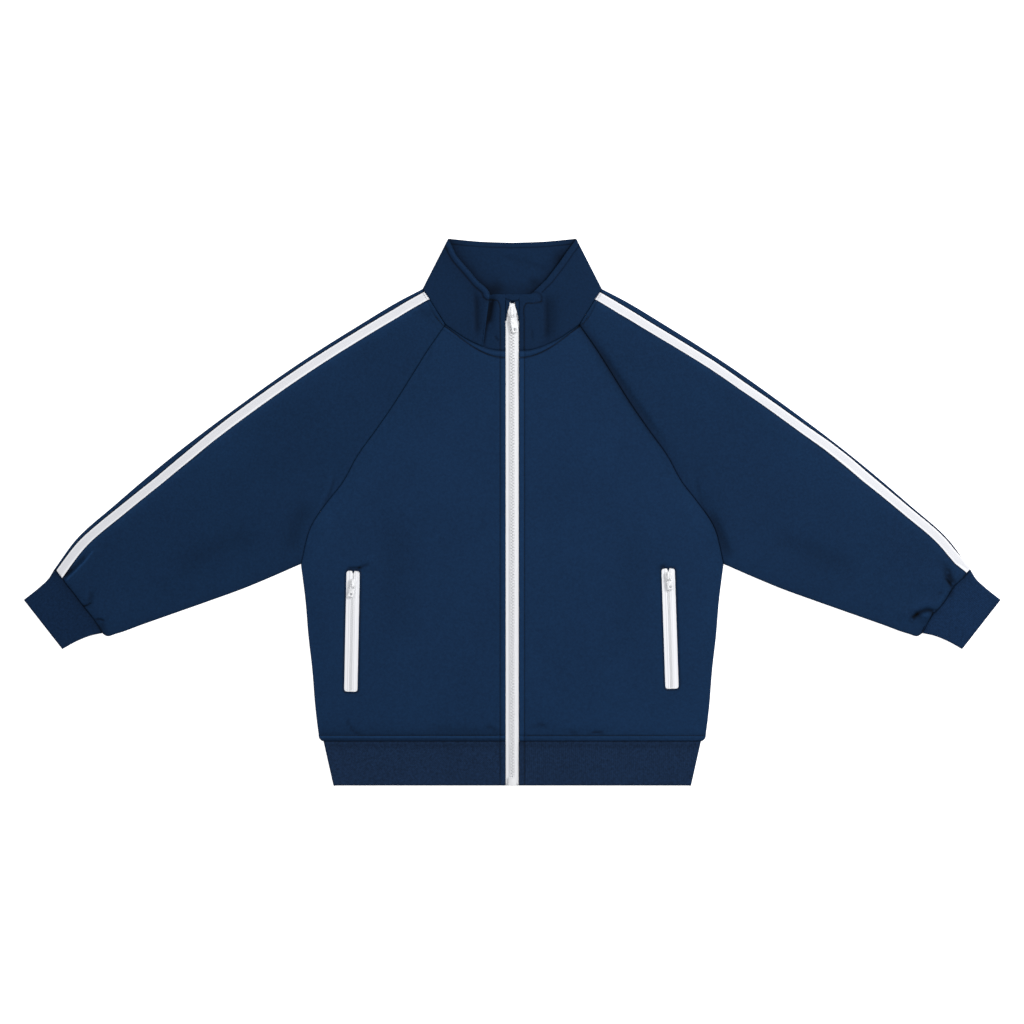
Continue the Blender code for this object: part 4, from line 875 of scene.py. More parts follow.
def add_front(side):
    """A front from its side fold and raglan seam to the zip. A block of the grid round the pocket
    is left out, and rings from the block's edge to the slot's edge fill it."""
    path, neck, side_share = body_edge("front", -3 * HALF_GAP)
    zip_edge = np.linspace((ZIP_HALF, HEM_SEAM + HALF_GAP), neck[-1], 60)
    hem = np.linspace(path[0], zip_edge[0], 60)

    def folded(v):
        """One along the side fold, easing to nought over its last fifth."""
        return 1 - smoothstep((v / side_share - 0.8) / 0.2)

    def edge_steps(v):
        return FLAT_STEPS + folded(v)[:, None] * (FOLD_STEPS - FLAT_STEPS)

    u, v = panel_grid(path, zip_edge, edge_steps, FLAT_STEPS, FLAT_STEPS, FLAT_STEPS, 72, 150)
    plan = coons(u, v, path, zip_edge, hem, neck)
    height, shade = front_top(side, plan)
    arc = FOLD_RADIUS + (height[:, [4]] - FOLD_RADIUS) * np.sin(FOLD_ANGLES)
    height[:, :5] += folded(v[:, :5]) * (arc - height[:, :5])

    middle, _, length = slot_frame(side)
    total, inner = plan.shape[1], 50      # inner: a column between the slot and the zip
    rows = np.flatnonzero(np.abs(plan[:, inner, 1] - middle[1]) < length / 2 + SLOT_MARGIN)
    out = plan[(rows[0] + rows[-1]) // 2, :, 0]
    columns = np.flatnonzero(np.abs(out - middle[0]) < SLOT_WIDTH / 2 + SLOT_MARGIN)
    r0, r1, c0, c1 = rows[0], rows[-1], columns[0], columns[-1]
    spot = np.arange(plan.shape[0] * total).reshape(plan.shape[:2])
    rim = rim_of(spot[r0:r1 + 1, c0:c1 + 1])
    corner = plan.reshape(-1, 2)[rim]
    core, gap = slot_place(side, corner)
    direction = (corner - core) / (gap + SLOT_RADIUS)[:, None]
    count = len(SLOT_STEPS)
    ring_gap = np.minimum(SLOT_STEPS[:, None], gap * (1 - np.arange(1, count + 1)[:, None] / 60))
    ring = core + direction * (SLOT_RADIUS + ring_gap)[..., None]
    ring_height, ring_shade = front_top(side, ring)

    points = np.concatenate([placed(side, plan, height).reshape(-1, 3),
                             placed(side, ring, ring_height).reshape(-1, 3)])
    quads, _ = grid_faces(*plan.shape[:2])
    row, column = np.divmod(quads[:, 0], total)
    inside = (row >= r0) & (row < r1) & (column >= c0) & (column < c1)
    loops = np.vstack([rim, spot.size + np.arange(count * len(rim)).reshape(count, -1)])
    after = np.roll(loops, -1, axis=1)
    band = np.stack([loops[:-1], after[:-1], after[1:], loops[1:]], axis=-1).reshape(-1, 4)
    faces = np.concatenate([quads[~inside], band])
    if side == "l":
        faces = faces[:, ::-1]
    used, renamed = np.unique(faces, return_inverse=True)
    faces, points = renamed.reshape(faces.shape), points[used]
    shade = np.r_[shade.ravel(), ring_shade.ravel()][used]
    front = mesh_object(f"front_{side}_cloth", points, [faces], points[faces.ravel(), :2], shade)
    return finish_mesh(thicken(front, KNIT), KNIT_CLOTH, f"front_{side}")


def add_back():
    """The back, flat on the surface and turned up to meet the fronts in the side folds."""
    path, neck, side_share = body_edge("back", HALF_GAP)
    mirrored = path * (-1, 1)
    top = np.vstack([neck * (-1, 1), neck[::-1][1:]])
    hem = np.linspace(mirrored[0], path[0], 60)
    first, rest = FOLD_STEPS[:6], np.array((0, 2, 5)) * MM
    u, v = panel_grid(mirrored, path, first, first, rest, rest, 60, 76)
    plan = coons(u, v, mirrored, path, hem, top)
    folded = 1 - smoothstep((v[:, :5] / side_share - 0.75) / 0.25)
    height = np.zeros(plan.shape[:2])
    height[:, :5] = folded * (FOLD_RADIUS - 0.12 * MM) * (1 - np.sin(FOLD_ANGLES))
    height[:, -5:] = height[:, 4::-1]
    back = add_shell("back_cloth", np.dstack([plan, height]), KNIT, flip=True)
    return finish_mesh(back, KNIT_CLOTH, "back")


def add_hem_band():
    """A rib band, open at the zip: a straight strip carried from one zip edge round the side folds
    and the back, with its lower edge folded and its upper edge rolled into the seam."""
    radius = BAND_TOP / 2
    seam = HEM_SEAM + 3 * HALF_GAP      # a little under the fronts' rolled edges
    share = shares(np.array([seam - HEM_BOTTOM]), HEM_RIM, FLAT_STEPS, 12)[:, None]
    half = HEM_HALF_BOTTOM + (HEM_HALF_TOP - HEM_HALF_BOTTOM) * share
    flat = half - radius - ZIP_HALF
    front = ZIP_HALF + flat * shares(flat, FLAT_STEPS, np.array((0, 2)) * MM, 66)
    fold = half - radius + radius * np.cos(HEM_ANGLES)
    back = (half - radius) * np.linspace(1, -1, HEM_BACK_COLUMNS)
    across = np.hstack([front, fold, back, -fold[:, ::-1], -front[:, ::-1]])
    turned = np.r_[np.ones(front.shape[1]), (1 + np.sin(HEM_ANGLES)) / 2]
    level = np.r_[turned, np.zeros(HEM_BACK_COLUMNS), turned[::-1]]
    above = (seam - HEM_BOTTOM) * share + 0 * across
    from_zip = np.abs(across) - ZIP_HALF
    drop = rolled(seam - HEM_BOTTOM - above, BAND_ROLL_MM) + quarter(above, 2)
    drop += rolled(from_zip) + groove(from_zip - TOPSTITCH)
    drop -= 0.12 * MM * np.sin(across / (23 * MM)) * np.sin(above / (60 * MM) * pi)
    z = np.where(level == 0, 0.5 * MM * (1 - rise(above, 0, 1.5)), (BAND_TOP - drop) * level)
    points = np.stack([across, HEM_BOTTOM + above, z], axis=-1)
    below = seam - 4 * HALF_GAP - HEM_BOTTOM - above
    # Painted shade along the seam, the folded lower edge, the zip's edge and its stitching, with a
    # painted highlight on the ridge below the seam
    shade = 0.6 * fade(below, 1.1) - 0.14 * bell(below - 2.2 * MM, 0.9)
    shade += 0.2 * bell(below - 5.5 * MM, 4) + 0.45 * bell(above, 1.3)
    shade += (0.2 * bell(from_zip - TOPSTITCH, 1.1) + 0.4 * fade(from_zip, 0.6)) * (level > 0.9)
    band = add_shell("hem_band_rib", points, RIB, shade=shade)
    return finish_mesh(band, RIB_CLOTH, "hem_band"), points


# ---------------------------------------------------------------- collar

def whole_neck(layer):
    """The neck seam of one layer, over the sleeve's end and the body."""
    return np.vstack([LINES[f"neck_{layer}_sleeve"], LINES[f"neck_{layer}_body"][1:]])


def collar_half(side):
    """Base and top points of one collar front from the zip to its side fold, the outer face's
    heights at both, and the neck point."""
    base = sideways(whole_neck("front"), -HALF_GAP)[::-1]
    table = np.array(COLLAR[side])
    edge = 1 - COLLAR_FOLD_TOP / 2 / run_of(base)[-1]
    toward = (edge - table[-1, 0]) / (1 - table[-1, 0])
    corner = np.array(LINE_TABLES["collar_back"][0])
    fold_top_mm = COLLAR_FOLD_TOP / MM
    end = np.r_[edge, table[-1, 1:3] + toward * (corner - table[-1, 1:3]), fold_top_mm, fold_top_mm]
    between = 8                       # fine columns to a station
    fine = smooth_rows(np.vstack([table, end]), between)
    steps = FLAT_STEPS[:10] / (7 * MM)
    first = table[0] + steps[:, None] * (table[1] - table[0])
    fine = np.vstack([first[:-1], fine[between:]])
    return along(base, fine[:, 0]), fine[:, 1:3] * MM, fine[:, 3] * MM, fine[:, 4] * MM, base[-1]


def round_fold(corner, before, after):
    """Plan points round a folded edge, from before through the corner to after: cosines."""
    bend = 1 - np.cos(HEM_ANGLES[:4])[:, None]
    return np.vstack([corner + bend * (before - corner), (corner + bend * (after - corner))[2::-1]])


def collar_relief(side, plan, column, wing, from_wing):
    """Creases and stitching of one collar front, as relief and painted shade. On the right the wing
    lies over the strip beside the zip from the pleat on, with a crowned rim under a painted
    highlight."""
    on_wing, wing_shade = creased(side, plan, WING_CREASES)
    on_strip, strip_shade = creased(side, plan, STRIP_CREASES)
    past_stitch = from_wing - WING_STITCH
    if side == "r":
        over = column >= PLEAT_COLUMN
        on_wing, wing_shade, on_strip, strip_shade = (
            on_wing * over, wing_shade * over, on_strip * ~over, strip_shade * ~over)
        rim = 0.5 * MM * bell(from_wing - 3.4 * MM, 2.4)
        # sewn: painted shade at the stitching and beyond it, and a painted highlight on the rim
        sewn = (0.58 * bell(past_stitch, 1.3) - 0.3 * bell(from_wing - 3.2 * MM, 1.8)
                + 0.2 * (past_stitch > 0) * fade(past_stitch, 8))
    else:
        # Painted shade at the stitching
        rim, sewn = 0, 0.5 * bell(past_stitch, 0.9)
    relief = on_wing + on_strip + wing * (rim - groove(past_stitch, 0.5))
    # Painted shade also along the wing's top edge
    return relief, wing_shade + strip_shade + wing * (sewn + 0.45 * fade(from_wing, 0.7))


def collar_inside(inner, outer, top_back, wings):
    """Lays the face that shows inside the collar on its wall: stitched along the top edge, with a
    soft slope across it. Returns its painted shade, deepest beside the wings."""
    low_part = outer[..., 2] < 0.3 * MM
    flat = outer[..., :2]
    from_edge = np.interp(np.abs(flat[..., 0]), *top_back[::-1].T) - flat[..., 1]
    slope = bell(from_line(flat, (-9, 345), (45, 329)), 3.5)
    relief = -groove(from_edge - 7 * MM, 0.35) - 0.5 * MM * slope - 0.8 * quarter(from_edge, 1)
    inner[..., :2] = np.where(low_part[..., None], flat, inner[..., :2])
    inner[..., 2] = np.where(low_part, COLLAR_WALL + relief, inner[..., 2])
    # Painted shade along the stitching and the slope, beside the wings, at set spots and towards
    # the bottom
    shade = 0.45 * bell(from_edge - 7 * MM, 0.9) + 0.14 * slope
    for wing, depth, length_mm in zip(wings, (0.6, 0.5), (8, 6)):
        shade += depth * fade(near(flat, wing, 50), length_mm)
    for place_mm, half_mm, depth in INSIDE_SHADE_SPOTS:
        shade += depth * bell(from_point(flat, place_mm), half_mm)
    shade += 0.2 * (1 - rise(flat[..., 1], 294, 22))
    return np.minimum(shade, 0.72) * low_part


def add_collar():
    """A stand collar laid flat: its fronts with their pleats, round the side folds to the back,
    ruled from the neck seam to the top edge. The face that shows inside is its own grid."""
    radius = COLLAR_FOLD_TOP / 2
    neck_back = sideways(whole_neck("back"), -HALF_GAP)
    top_back = LINES["collar_back"]
    back_share = np.r_[radius / run_of(neck_back)[-1], np.linspace(0.05, 1, 26)]
    base_back, top_line = along(neck_back, back_share), along(top_back, back_share)
    fold = radius * (1 + np.sin(HEM_ANGLES))
    v = shares(np.array([80 * MM]), FLAT_STEPS, TOP_STEPS, 24)[:, None]
    halves, shades, wings = [], [], []
    for side in SIDES:
        base, top, high, low, neck_point = collar_half(side)
        base = np.vstack([base, round_fold(neck_point, base[-1], base_back[0]), base_back])
        top = np.vstack([top, round_fold(top_back[0], top[-1], top_line[0]), top_line])
        high, low = (np.r_[height, fold, 0 * back_share] for height in (high, low))
        plan = (1 - v[..., None]) * base + v[..., None] * top
        weight = np.clip(np.minimum(high, low) / (2 * radius), 0, 1)
        ends = len(top) - len(back_share) - 3
        column = np.arange(plan.shape[1]) + 0 * v.astype(int)
        start = PLEAT_COLUMN if side == "r" else WING_COLUMN
        wing = (column >= start) & (column < ends)
        if side == "l":
            wing &= (plan[..., 0] > 39.5 * MM) | (plan[..., 1] > 296 * MM)
        from_wing = near(plan, top[start:ends], 50)
        up = v * np.linalg.norm(top - base, axis=1)
        down = (1 - v) * np.linalg.norm(top - base, axis=1)
        zip_run = run_of(base) + 0 * v
        open_zip = 1 - 0.85 * rise(plan[..., 1], 283, 4)    # above it the arch joins on
        relief, shade = collar_relief(side, plan, column, wing, from_wing)
        level = low + (high - low) * smoothstep(v)
        level += weight * (relief - rolled(np.minimum(up, 16 * MM)) - quarter(down, 1))
        level -= ((column < ends) & (zip_run < 40 * MM)) * open_zip * rolled(zip_run)
        # Painted shade along the neck seam and the zip's edge
        shade += (column < ends) * 0.35 * (fade(up, 1.4) + open_zip * fade(zip_run, 0.7))
        shades.append(np.minimum(shade, 0.82))
        wings.append(top[start:ends] * (SIDES[side], 1))
        halves.append(placed(side, plan, level))
    outer, shade = (np.concatenate([right, left[:, -2::-1]], axis=1)
                    for right, left in (halves, shades))
    inner = outer + COLLAR_WALL * normals(outer)
    inner_shade = collar_inside(inner, outer, top_back, wings)
    collar = add_wall("collar_cloth", outer, inner, shade, inner_shade)
    return finish_mesh(collar, SHADED_COLLAR_CLOTH, "collar"), *halves


def add_chin_guard():
    """The knit arch over the zip's top: the strip between its two edges, with a crowned section
    whose rims drop by a quarter round."""
    half = smooth_rows(GUARD, 6) * MM
    whole = np.vstack([half, half[-2::-1] * (-1, 1, -1, 1)])
    t = GUARD_ACROSS[:, None]
    plan = (1 - t[..., None]) * whole[:, :2] + t[..., None] * whole[:, 2:]
    width = np.linalg.norm(whole[:, 2:] - whole[:, :2], axis=1)
    inner, outer = t * width, (1 - t) * width
    open_side = 1 - 0.85 * rise(plan[..., 1], 285, 4)
    arch = near(plan, "guard_fold", 6)
    drop = quarter(inner, 0.9) + open_side * quarter(outer, 0.9) + groove(arch, 0.5, 0.8)
    # Painted shade along both edges and along the arch's fold
    shade = 0.4 * fade(inner, 0.7) + 0.45 * open_side * fade(outer, 0.7) + 0.6 * bell(arch, 1)
    guard = add_shell("chin_guard_cloth", np.dstack([plan, GUARD_TOP - drop]), GUARD_WALL,
                      flip=True, shade=np.minimum(shade, 0.8))
    return finish_mesh(guard, SHADED_COLLAR_CLOTH, "chin_guard")


# ---------------------------------------------------------------- zips

def tape_top(up):
    """Face of the main zip's tape, which rises under the collar."""
    return TAPE_TOP_BODY + (TAPE_TOP_COLLAR - TAPE_TOP_BODY) * rise(up, 180, 34)


def tape_relief(across):
    """Relief across a zip tape: a round cord beside the teeth, a narrow channel, and a rib."""
    return MM * (0.55 * bell(across - 3.9 * MM, 1) - 0.10 * bell(across - 5.7 * MM, 0.5)
                 + 0.08 * bell(across - 7.4 * MM, 0.9))


def add_tape(name, node, way, rows, spread, far, face, place, material):
    """A woven tape as a strip from beside the teeth to its outer selvedge, row by row."""
    t = np.r_[0, np.linspace(0.1, 0.72, 16), 0.86, 1]
    near_edge = (HALF_GAP + spread)[:, None]
    across = near_edge + (far - near_edge) * t
    height = face[:, None] - 0.12 * MM + tape_relief(across)
    points = np.stack([way * across, rows[:, None] + 0 * across, height], axis=-1)
    tape = add_shell(name, points @ place[0].T + place[1], TAPE_WALL, flip=way < 0)
    return finish_mesh(tape, material, node)


def add_teeth(name, node, start, end, pitch_mm, width_mm, height_mm, face, place):
    """Two rows of moulded teeth that mesh along a zigzag: each is a house-shaped outline whose roof
    points past the middle, carried up to a smaller top outline."""
    gap, tip = 0.4 * MM, 1.15 * MM
    pitch, half, height = pitch_mm * MM, width_mm * MM / 2, height_mm * MM
    wall, roof = pitch / 2 - gap, 0.2 * pitch - gap
    outline = np.array(((half, -wall), (half, wall), (tip, wall),
                        (gap - tip, roof), (gap - tip, -roof), (tip, -wall)))
    offset = outline - outline.mean(axis=0)
    inset = outline - 0.32 * MM * offset / np.abs(offset).max(axis=1)[:, None]
    rings = np.stack([np.c_[shape, np.full(6, share * height)] for shape, share in (
        (outline, 0), (outline, 0.62), (0.35 * outline + 0.65 * inset, 0.9), (inset, 1))])
    stations = np.arange(start + pitch / 2, end - pitch / 2, pitch / 2)
    way = np.where(np.arange(len(stations)) % 2, 1, -1)
    teeth = rings * np.stack([way, way, np.ones(len(way))], axis=1)[:, None, None]
    teeth[..., 1] += stations[:, None, None]
    teeth[..., 2] += face(stations)[:, None, None]
    piece = add_prisms(name, teeth @ place[0].T + place[1], smooth=False)
    return finish_mesh(piece, ACETAL, node)


def rounded_copy(node, name, width, material, body=ROOT):
    """A hard part from its solid: the same flat faces, with every edge rounded."""
    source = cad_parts[node]
    mesh = source.data.copy()
    mesh.transform(source.matrix_world)
    shape = bmesh.new()
    shape.from_mesh(mesh)
    bmesh.ops.remove_doubles(shape, verts=shape.verts, dist=0.01 * MM)
    bmesh.ops.dissolve_limit(shape, angle_limit=radians(4), verts=shape.verts, edges=shape.edges)
    shape.to_mesh(mesh)
    shape.free()
    mesh.materials.clear()
    mesh.shade_smooth()
    piece = put(name, mesh)
    bevel = piece.modifiers.new("rounded", "BEVEL")
    bevel.width, bevel.segments, bevel.limit_method = width, 2, "ANGLE"
    bevel.angle_limit = radians(28)
    bevel.harden_normals = True
    return finish_mesh(piece, material, node, body)


def add_slider(zip_name, slider_round):
    """A zip's slider, fixed to the jacket, and its pull, which turns on it."""
    slider, pull = f"{zip_name}_slider", f"{zip_name}_pull"
    rounded_copy(slider, f"{slider}_shell", slider_round, ENAMEL)
    rounded_copy(pull, f"{pull}_tab", 0.28 * MM, ENAMEL, pull)


def add_main_zip():
    rows = np.r_[np.linspace(ZIP_BOTTOM_MM, 260, 160), np.linspace(263, ZIP_TOP_MM, 12)] * MM
    flat = (np.eye(3), np.zeros(3))
    # The tapes stop short of the middle, so dark cloth shows between the teeth, and meet at the box
    spread = 0.95 * MM * rise(rows, -358, 4) + 1.65 * MM * rise(rows, 266, 8)
    tapes = [add_tape(f"main_tape_{side}_weave", f"main_tape_{side}", way, rows, spread, TAPE_HALF,
                      tape_top(rows), flat, WOVEN_TAPE) for side, way in SIDES.items()]
    add_teeth("main_teeth_row", "main_teeth", -357 * MM, 272 * MM, 4.1, 6.0, 1.5,
              lambda up: tape_top(up) + 0.2 * MM, flat)
    rounded_copy("zip_box", "zip_box_shell", 0.4 * MM, ACETAL)
    add_slider("main", 0.22 * MM)
    return tapes


def add_pocket_zip(side):
    middle, run, length = slot_frame(side)
    way = SIDES[side]
    turn = np.array(((run[1], way * run[0], 0), (-way * run[0], run[1], 0), (0, 0, 1)))
    place = (turn, np.array((way * middle[0], middle[1], 0)))
    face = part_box(f"pocket_{side}_tape")[1][2]
    slider_y = (np.array(POCKETS[side].slider_mm) * MM - middle) @ run
    top = length / 2
    rows = np.r_[np.linspace(-top - 4 * MM, top - 6 * MM, 56),
                 np.linspace(top - 5 * MM, top + 4 * MM, 12)]
    spread = 0.2 * MM * rise(rows - slider_y, 0, 3) + 1.1 * MM * rise(rows - top, -3.6, 2.4)
    tapes = [add_tape(f"pocket_{side}_tape_{word}", node, way, rows, spread, POCKET_TAPE_HALF,
                      face + 0 * rows, place, FINE_TAPE_PAINTED_LIGHT)
             for word, node, way in (("outer", f"pocket_{side}_tape", -1), ("inner", "", 1))]
    add_teeth(f"pocket_{side}_teeth_row", f"pocket_{side}_teeth", 1 * MM - top, slider_y + 1.2 * MM,
              3.2, 3.6, 0.9, lambda up: face + 0.2 * MM + 0 * up, place)
    add_slider(f"pocket_{side}", 0.2 * MM)
    return tapes


# ---------------------------------------------------------------- stitches

def stitches_on(length, place, step, pitch=STITCH_PITCH):
    """Stitch centres and directions at even steps along a line, from its length and a function
    that gives its points at shares of it."""
    count = max(int(length / pitch), 1)
    share = (np.arange(count) + 0.5) / count
    direction = place(np.minimum(share + step, 1)) - place(np.maximum(share - step, 0))
    return place(share), direction / np.linalg.norm(direction, axis=1, keepdims=True)


def space_line(path, pitch=STITCH_PITCH):
    """Stitches along a path in space."""
    return stitches_on(run_of(path)[-1], lambda share: along(path, share), 0.004, pitch)


def grid_line(points, row, column):
    """Points on a grid at fractional rows and columns, by its bilinear patch."""
    r = np.clip(row.astype(int), 0, points.shape[0] - 2)
    c = np.clip(column.astype(int), 0, points.shape[1] - 2)
    a, b = (row - r)[:, None], (column - c)[:, None]
    return ((1 - a) * (1 - b) * points[r, c] + (1 - a) * b * points[r, c + 1]
            + a * (1 - b) * points[r + 1, c] + a * b * points[r + 1, c + 1])


def add_stitches(name, lines, material, radius=THREAD, length=STITCH_LENGTH, lift=0.22 * MM):
    """Stitches as short round threads, sunk at both ends: rings of a hexagon along each one, with
    radius and height falling as the fourth power of the distance from its middle."""
    points, direction = (np.concatenate(part) for part in zip(*lines))
    t = np.array((-1, -0.82, -0.4, 0, 0.4, 0.82, 1))
    size = radius * np.sqrt(1 - 0.9 * t ** 4)
    across = np.cross(direction, (0, 0, 1.0))
    across /= np.linalg.norm(across, axis=1, keepdims=True)
    upward = np.cross(across, direction)
    turn = np.radians(np.arange(0, 360, 60))
    circle = size[:, None, None] * np.stack([np.cos(turn), np.sin(turn)], axis=-1)
    lifted = lift - 0.5 * radius * t ** 4
    middle = (points[:, None] + direction[:, None] * (t * length / 2)[:, None]
              + upward[:, None] * lifted[:, None])
    ring = (middle[:, :, None] + across[:, None, None] * circle[..., :1]
            + upward[:, None, None] * circle[..., 1:])
    return finish_mesh(add_prisms(name, ring, flip=True), material)


def front_stitches(side):
    """Topstitching of one front: beside the zip, above the hem seam, round the pocket's slot and
    below the neck seam."""
    x, y = ZIP_HALF + TOPSTITCH, HEM_SEAM + TOPSTITCH
    beside = np.linspace((x, HEM_SEAM + 2 * MM), (x, 209 * MM), 40)
    above = np.linspace((x + 3 * MM, y), (258 * MM, y), 40)
    middle, run, length = slot_frame(side)
    turn = np.radians(np.arange(0, 363, 3))
    round_turn = np.stack([np.cos(turn), np.sin(turn)], axis=1)
    half = np.array((SLOT_WIDTH, length)) / 2 - SLOT_RADIUS
    local = half * np.sign(round_turn + 1e-9) + (SLOT_RADIUS + POCKET_STITCH) * round_turn
    loop = middle + local[:, :1] * (run[1], -run[0]) + local[:, 1:] * run

    def on_front(path):
        def place(share):
            spot = along(path, share)
            return placed(side, spot, front_top(side, spot)[0])
        return stitches_on(run_of(path)[-1], place, 0.002)

    return [on_front(path) for path in (beside, above, loop, LINES["neck_topstitch"])]


def band_stitches(side, points):
    """Topstitching that runs on down the hem band, on its own grid."""
    count = 80                        # columns from the zip's edge, all on the front
    across = points[0, :count, 0] if side == "l" else -points[0, :-count - 1:-1, 0]
    place = np.interp(ZIP_HALF + TOPSTITCH, across, np.arange(count))
    if side == "r":
        place = points.shape[1] - 1 - place
    rows = np.linspace(3, points.shape[0] - 3, 30)
    return space_line(grid_line(points, rows, np.full(30, place)))


def collar_line(half, path_mm):
    """Topstitching on one collar front: a plan path lifted to the nearest point of its grid."""
    front = half[:, :PLEAT_COLUMN - 3].reshape(-1, 3)
    spots = along(curve_through(path_mm), np.linspace(0, 1, 60))
    nearest = np.linalg.norm(spots[:, None] - np.abs(front[:, :2]), axis=2).argmin(axis=1)
    return space_line(np.c_[np.sign(front[0, 0]) * spots[:, 0], spots[:, 1], front[nearest, 2]])


def stripe_lines(points):
    """Two rows of stitches across a stripe where it is sewn down beside the neck."""
    run = run_of(points[:, len(STRIPE_ACROSS) // 2])
    rows = np.interp((2.2 * MM, 4.9 * MM), run, np.arange(len(run)))
    return [space_line(grid_line(points, np.full(20, row), np.linspace(0.8, 12.2, 20)), 2.6 * MM)
            for row in rows]


def add_all_stitches(band, halves, stripes):
    lines = []
    for side, half in zip(SIDES, halves):
        creases = [Crease(*row) for row in STRIP_CREASES[side]]
        lines += front_stitches(side) + [band_stitches(side, band)]
        lines += [collar_line(half, crease.path_mm) for crease in creases if crease.fade < 0.05]
    add_stitches("topstitching", lines, THREAD_NAVY)
    add_stitches("stripe_stitching", sum(map(stripe_lines, stripes), []), STRIPE_THREAD_PAINTED_SHADE,
                 radius=0.22 * MM, length=1.9 * MM)


# ---------------------------------------------------------------- materials

def linear(text):
    """Linear colour of an sRGB hex value."""
    value = np.array([int(text[k:k + 2], 16) / 255 for k in (1, 3, 5)])
    value = np.where(value <= 0.04045, value / 12.92, ((value + 0.055) / 1.055) ** 2.4)
    return (*value.tolist(), 1.0)


def add(tree, kind, inputs=None, **settings):
    """Adds a node: settings are its properties, and inputs gives a socket a value or a link."""
    made = tree.nodes.new("ShaderNode" + kind)
    for key, value in settings.items():
        setattr(made, key, value)
    for key, value in (inputs or {}).items():
        if isinstance(value, bpy.types.NodeSocket):
            tree.links.new(value, made.inputs[key])
        else:
            made.inputs[key].default_value = value
    return made


def maths(tree, operation, *values):
    """Output of a maths node."""
    return add(tree, "Math", dict(enumerate(values)), operation=operation).outputs[0]


def noise(tree, scale, detail, roughness=0.5):
    """Output of a noise in the object's own metres."""
    where = add(tree, "TexCoord").outputs["Object"]
    return add(tree, "TexNoise", {"Vector": where, "Scale": scale, "Detail": detail,
                                  "Roughness": roughness}).outputs[0]


def link(tree, output, name):
    """Links an output to one of the shader's own inputs."""
    tree.links.new(output, tree.nodes["Principled BSDF"].inputs[name])


def raise_surface(tree, height, distance, strength):
    """A bump of this height on the material's surface."""
    bump = add(tree, "Bump", {"Height": height, "Distance": distance, "Strength": strength})
    link(tree, bump.outputs[0], "Normal")


def new_material(name, colour, **sockets):
    """A material with a Principled shader whose own sockets hold its uniform values."""
    material = bpy.data.materials.new(name)
    material.use_nodes = True
    shader = material.node_tree.nodes["Principled BSDF"]
    shader.inputs["Base Color"].default_value = linear(colour)
    for key, value in sockets.items():
        shader.inputs[key.replace("_", " ")].default_value = value
    return material, material.node_tree


def ribbed(tree, place, pitch_mm):
    """A wave of rounded ridges at a pitch along one coordinate: 0.5 + 0.5 cos."""
    wave = maths(tree, "COSINE", maths(tree, "MULTIPLY", place, 2 * pi / (pitch_mm * MM)))
    return maths(tree, "MULTIPLY_ADD", wave, 0.5, 0.5)


def cloth_place(tree):
    """The two coordinates of the cloth map."""
    where = add(tree, "TexCoord").outputs["UV"]
    return add(tree, "SeparateXYZ", {0: where}).outputs


def mixed(tree, share, first, second):
    """A colour between two hex values."""
    inputs = {0: share, 6: linear(first), 7: linear(second)}
    return add(tree, "Mix", inputs, data_type="RGBA").outputs[2]


def knit(name, dark, light, wale_mm, course_mm, depth, sheen, grain):
    """Knitted cloth: V-shaped loops in upright wales, courses across them, loose fibres as fine
    noise, and slow uneven tone where the cloth has been handled. The colour is then darkened by
    each point's painted shade, and lightened as a painted highlight where that is below nought."""
    material, tree = new_material(
        name, light, Roughness=0.78, Sheen_Weight=sheen, Sheen_Roughness=0.45,
        Specular_IOR_Level=0.06, Sheen_Tint=linear("#5B7BB0"))
    place = cloth_place(tree)
    wales, courses = ribbed(tree, place[0], wale_mm), ribbed(tree, place[1], course_mm)
    loops = maths(tree, "MULTIPLY_ADD", courses, 0.4, wales)
    surface = maths(tree, "MULTIPLY_ADD", noise(tree, 900, 2), 0.7, loops)
    raise_surface(tree, surface, 0.5 * MM, depth)
    slow = maths(tree, "MULTIPLY_ADD", noise(tree, 9, 3, 0.55), 0.3, 0.35 - grain / 2)
    tone = maths(tree, "MULTIPLY_ADD", noise(tree, 330, 2, 0.7), grain, slow)
    # Painted shade from the mesh: the colour is scaled by one less it
    painted_shade = add(tree, "Attribute", attribute_name="shade").outputs["Fac"]
    inputs = {0: mixed(tree, tone, dark, light), "Scale": maths(tree, "SUBTRACT", 1.0, painted_shade)}
    link(tree, add(tree, "VectorMath", inputs, operation="SCALE").outputs[0], "Base Color")
    return material


# Polyester double knit, brushed inside and smooth outside: matt navy with a faint cool sheen. Its
# real wales are 0.8 mm apart, too fine to show, and are drawn 1.6 mm apart.
KNIT_CLOTH = knit("navy_double_knit", "#091B32", "#143051", 1.6, 1.2, 0.16, 0.02, 0.8)
# The same cloth doubled, drawn a little darker as painted shade for the collar, inside and out,
# and the chin guard.
SHADED_COLLAR_CLOTH = knit("navy_collar_knit_painted_shade", "#07182C", "#102846", 1.6, 1.2, 0.16, 0.02, 0.8)
# 1x1 rib: upright ridges with deep shaded furrows between them. Real pitch 1.3 mm, drawn 2.7 mm.
RIB_CLOTH = knit("navy_rib_knit", "#0C192B", "#192E4C", 2.7, 1.4, 0.5, 0.03, 1.5)
# The same rib on the cuffs, stretched less, so that it shows closer and cooler.
CUFF_RIB = knit("navy_cuff_rib", "#07172B", "#142E50", 2.2, 1.4, 0.4, 0.02, 1.0)


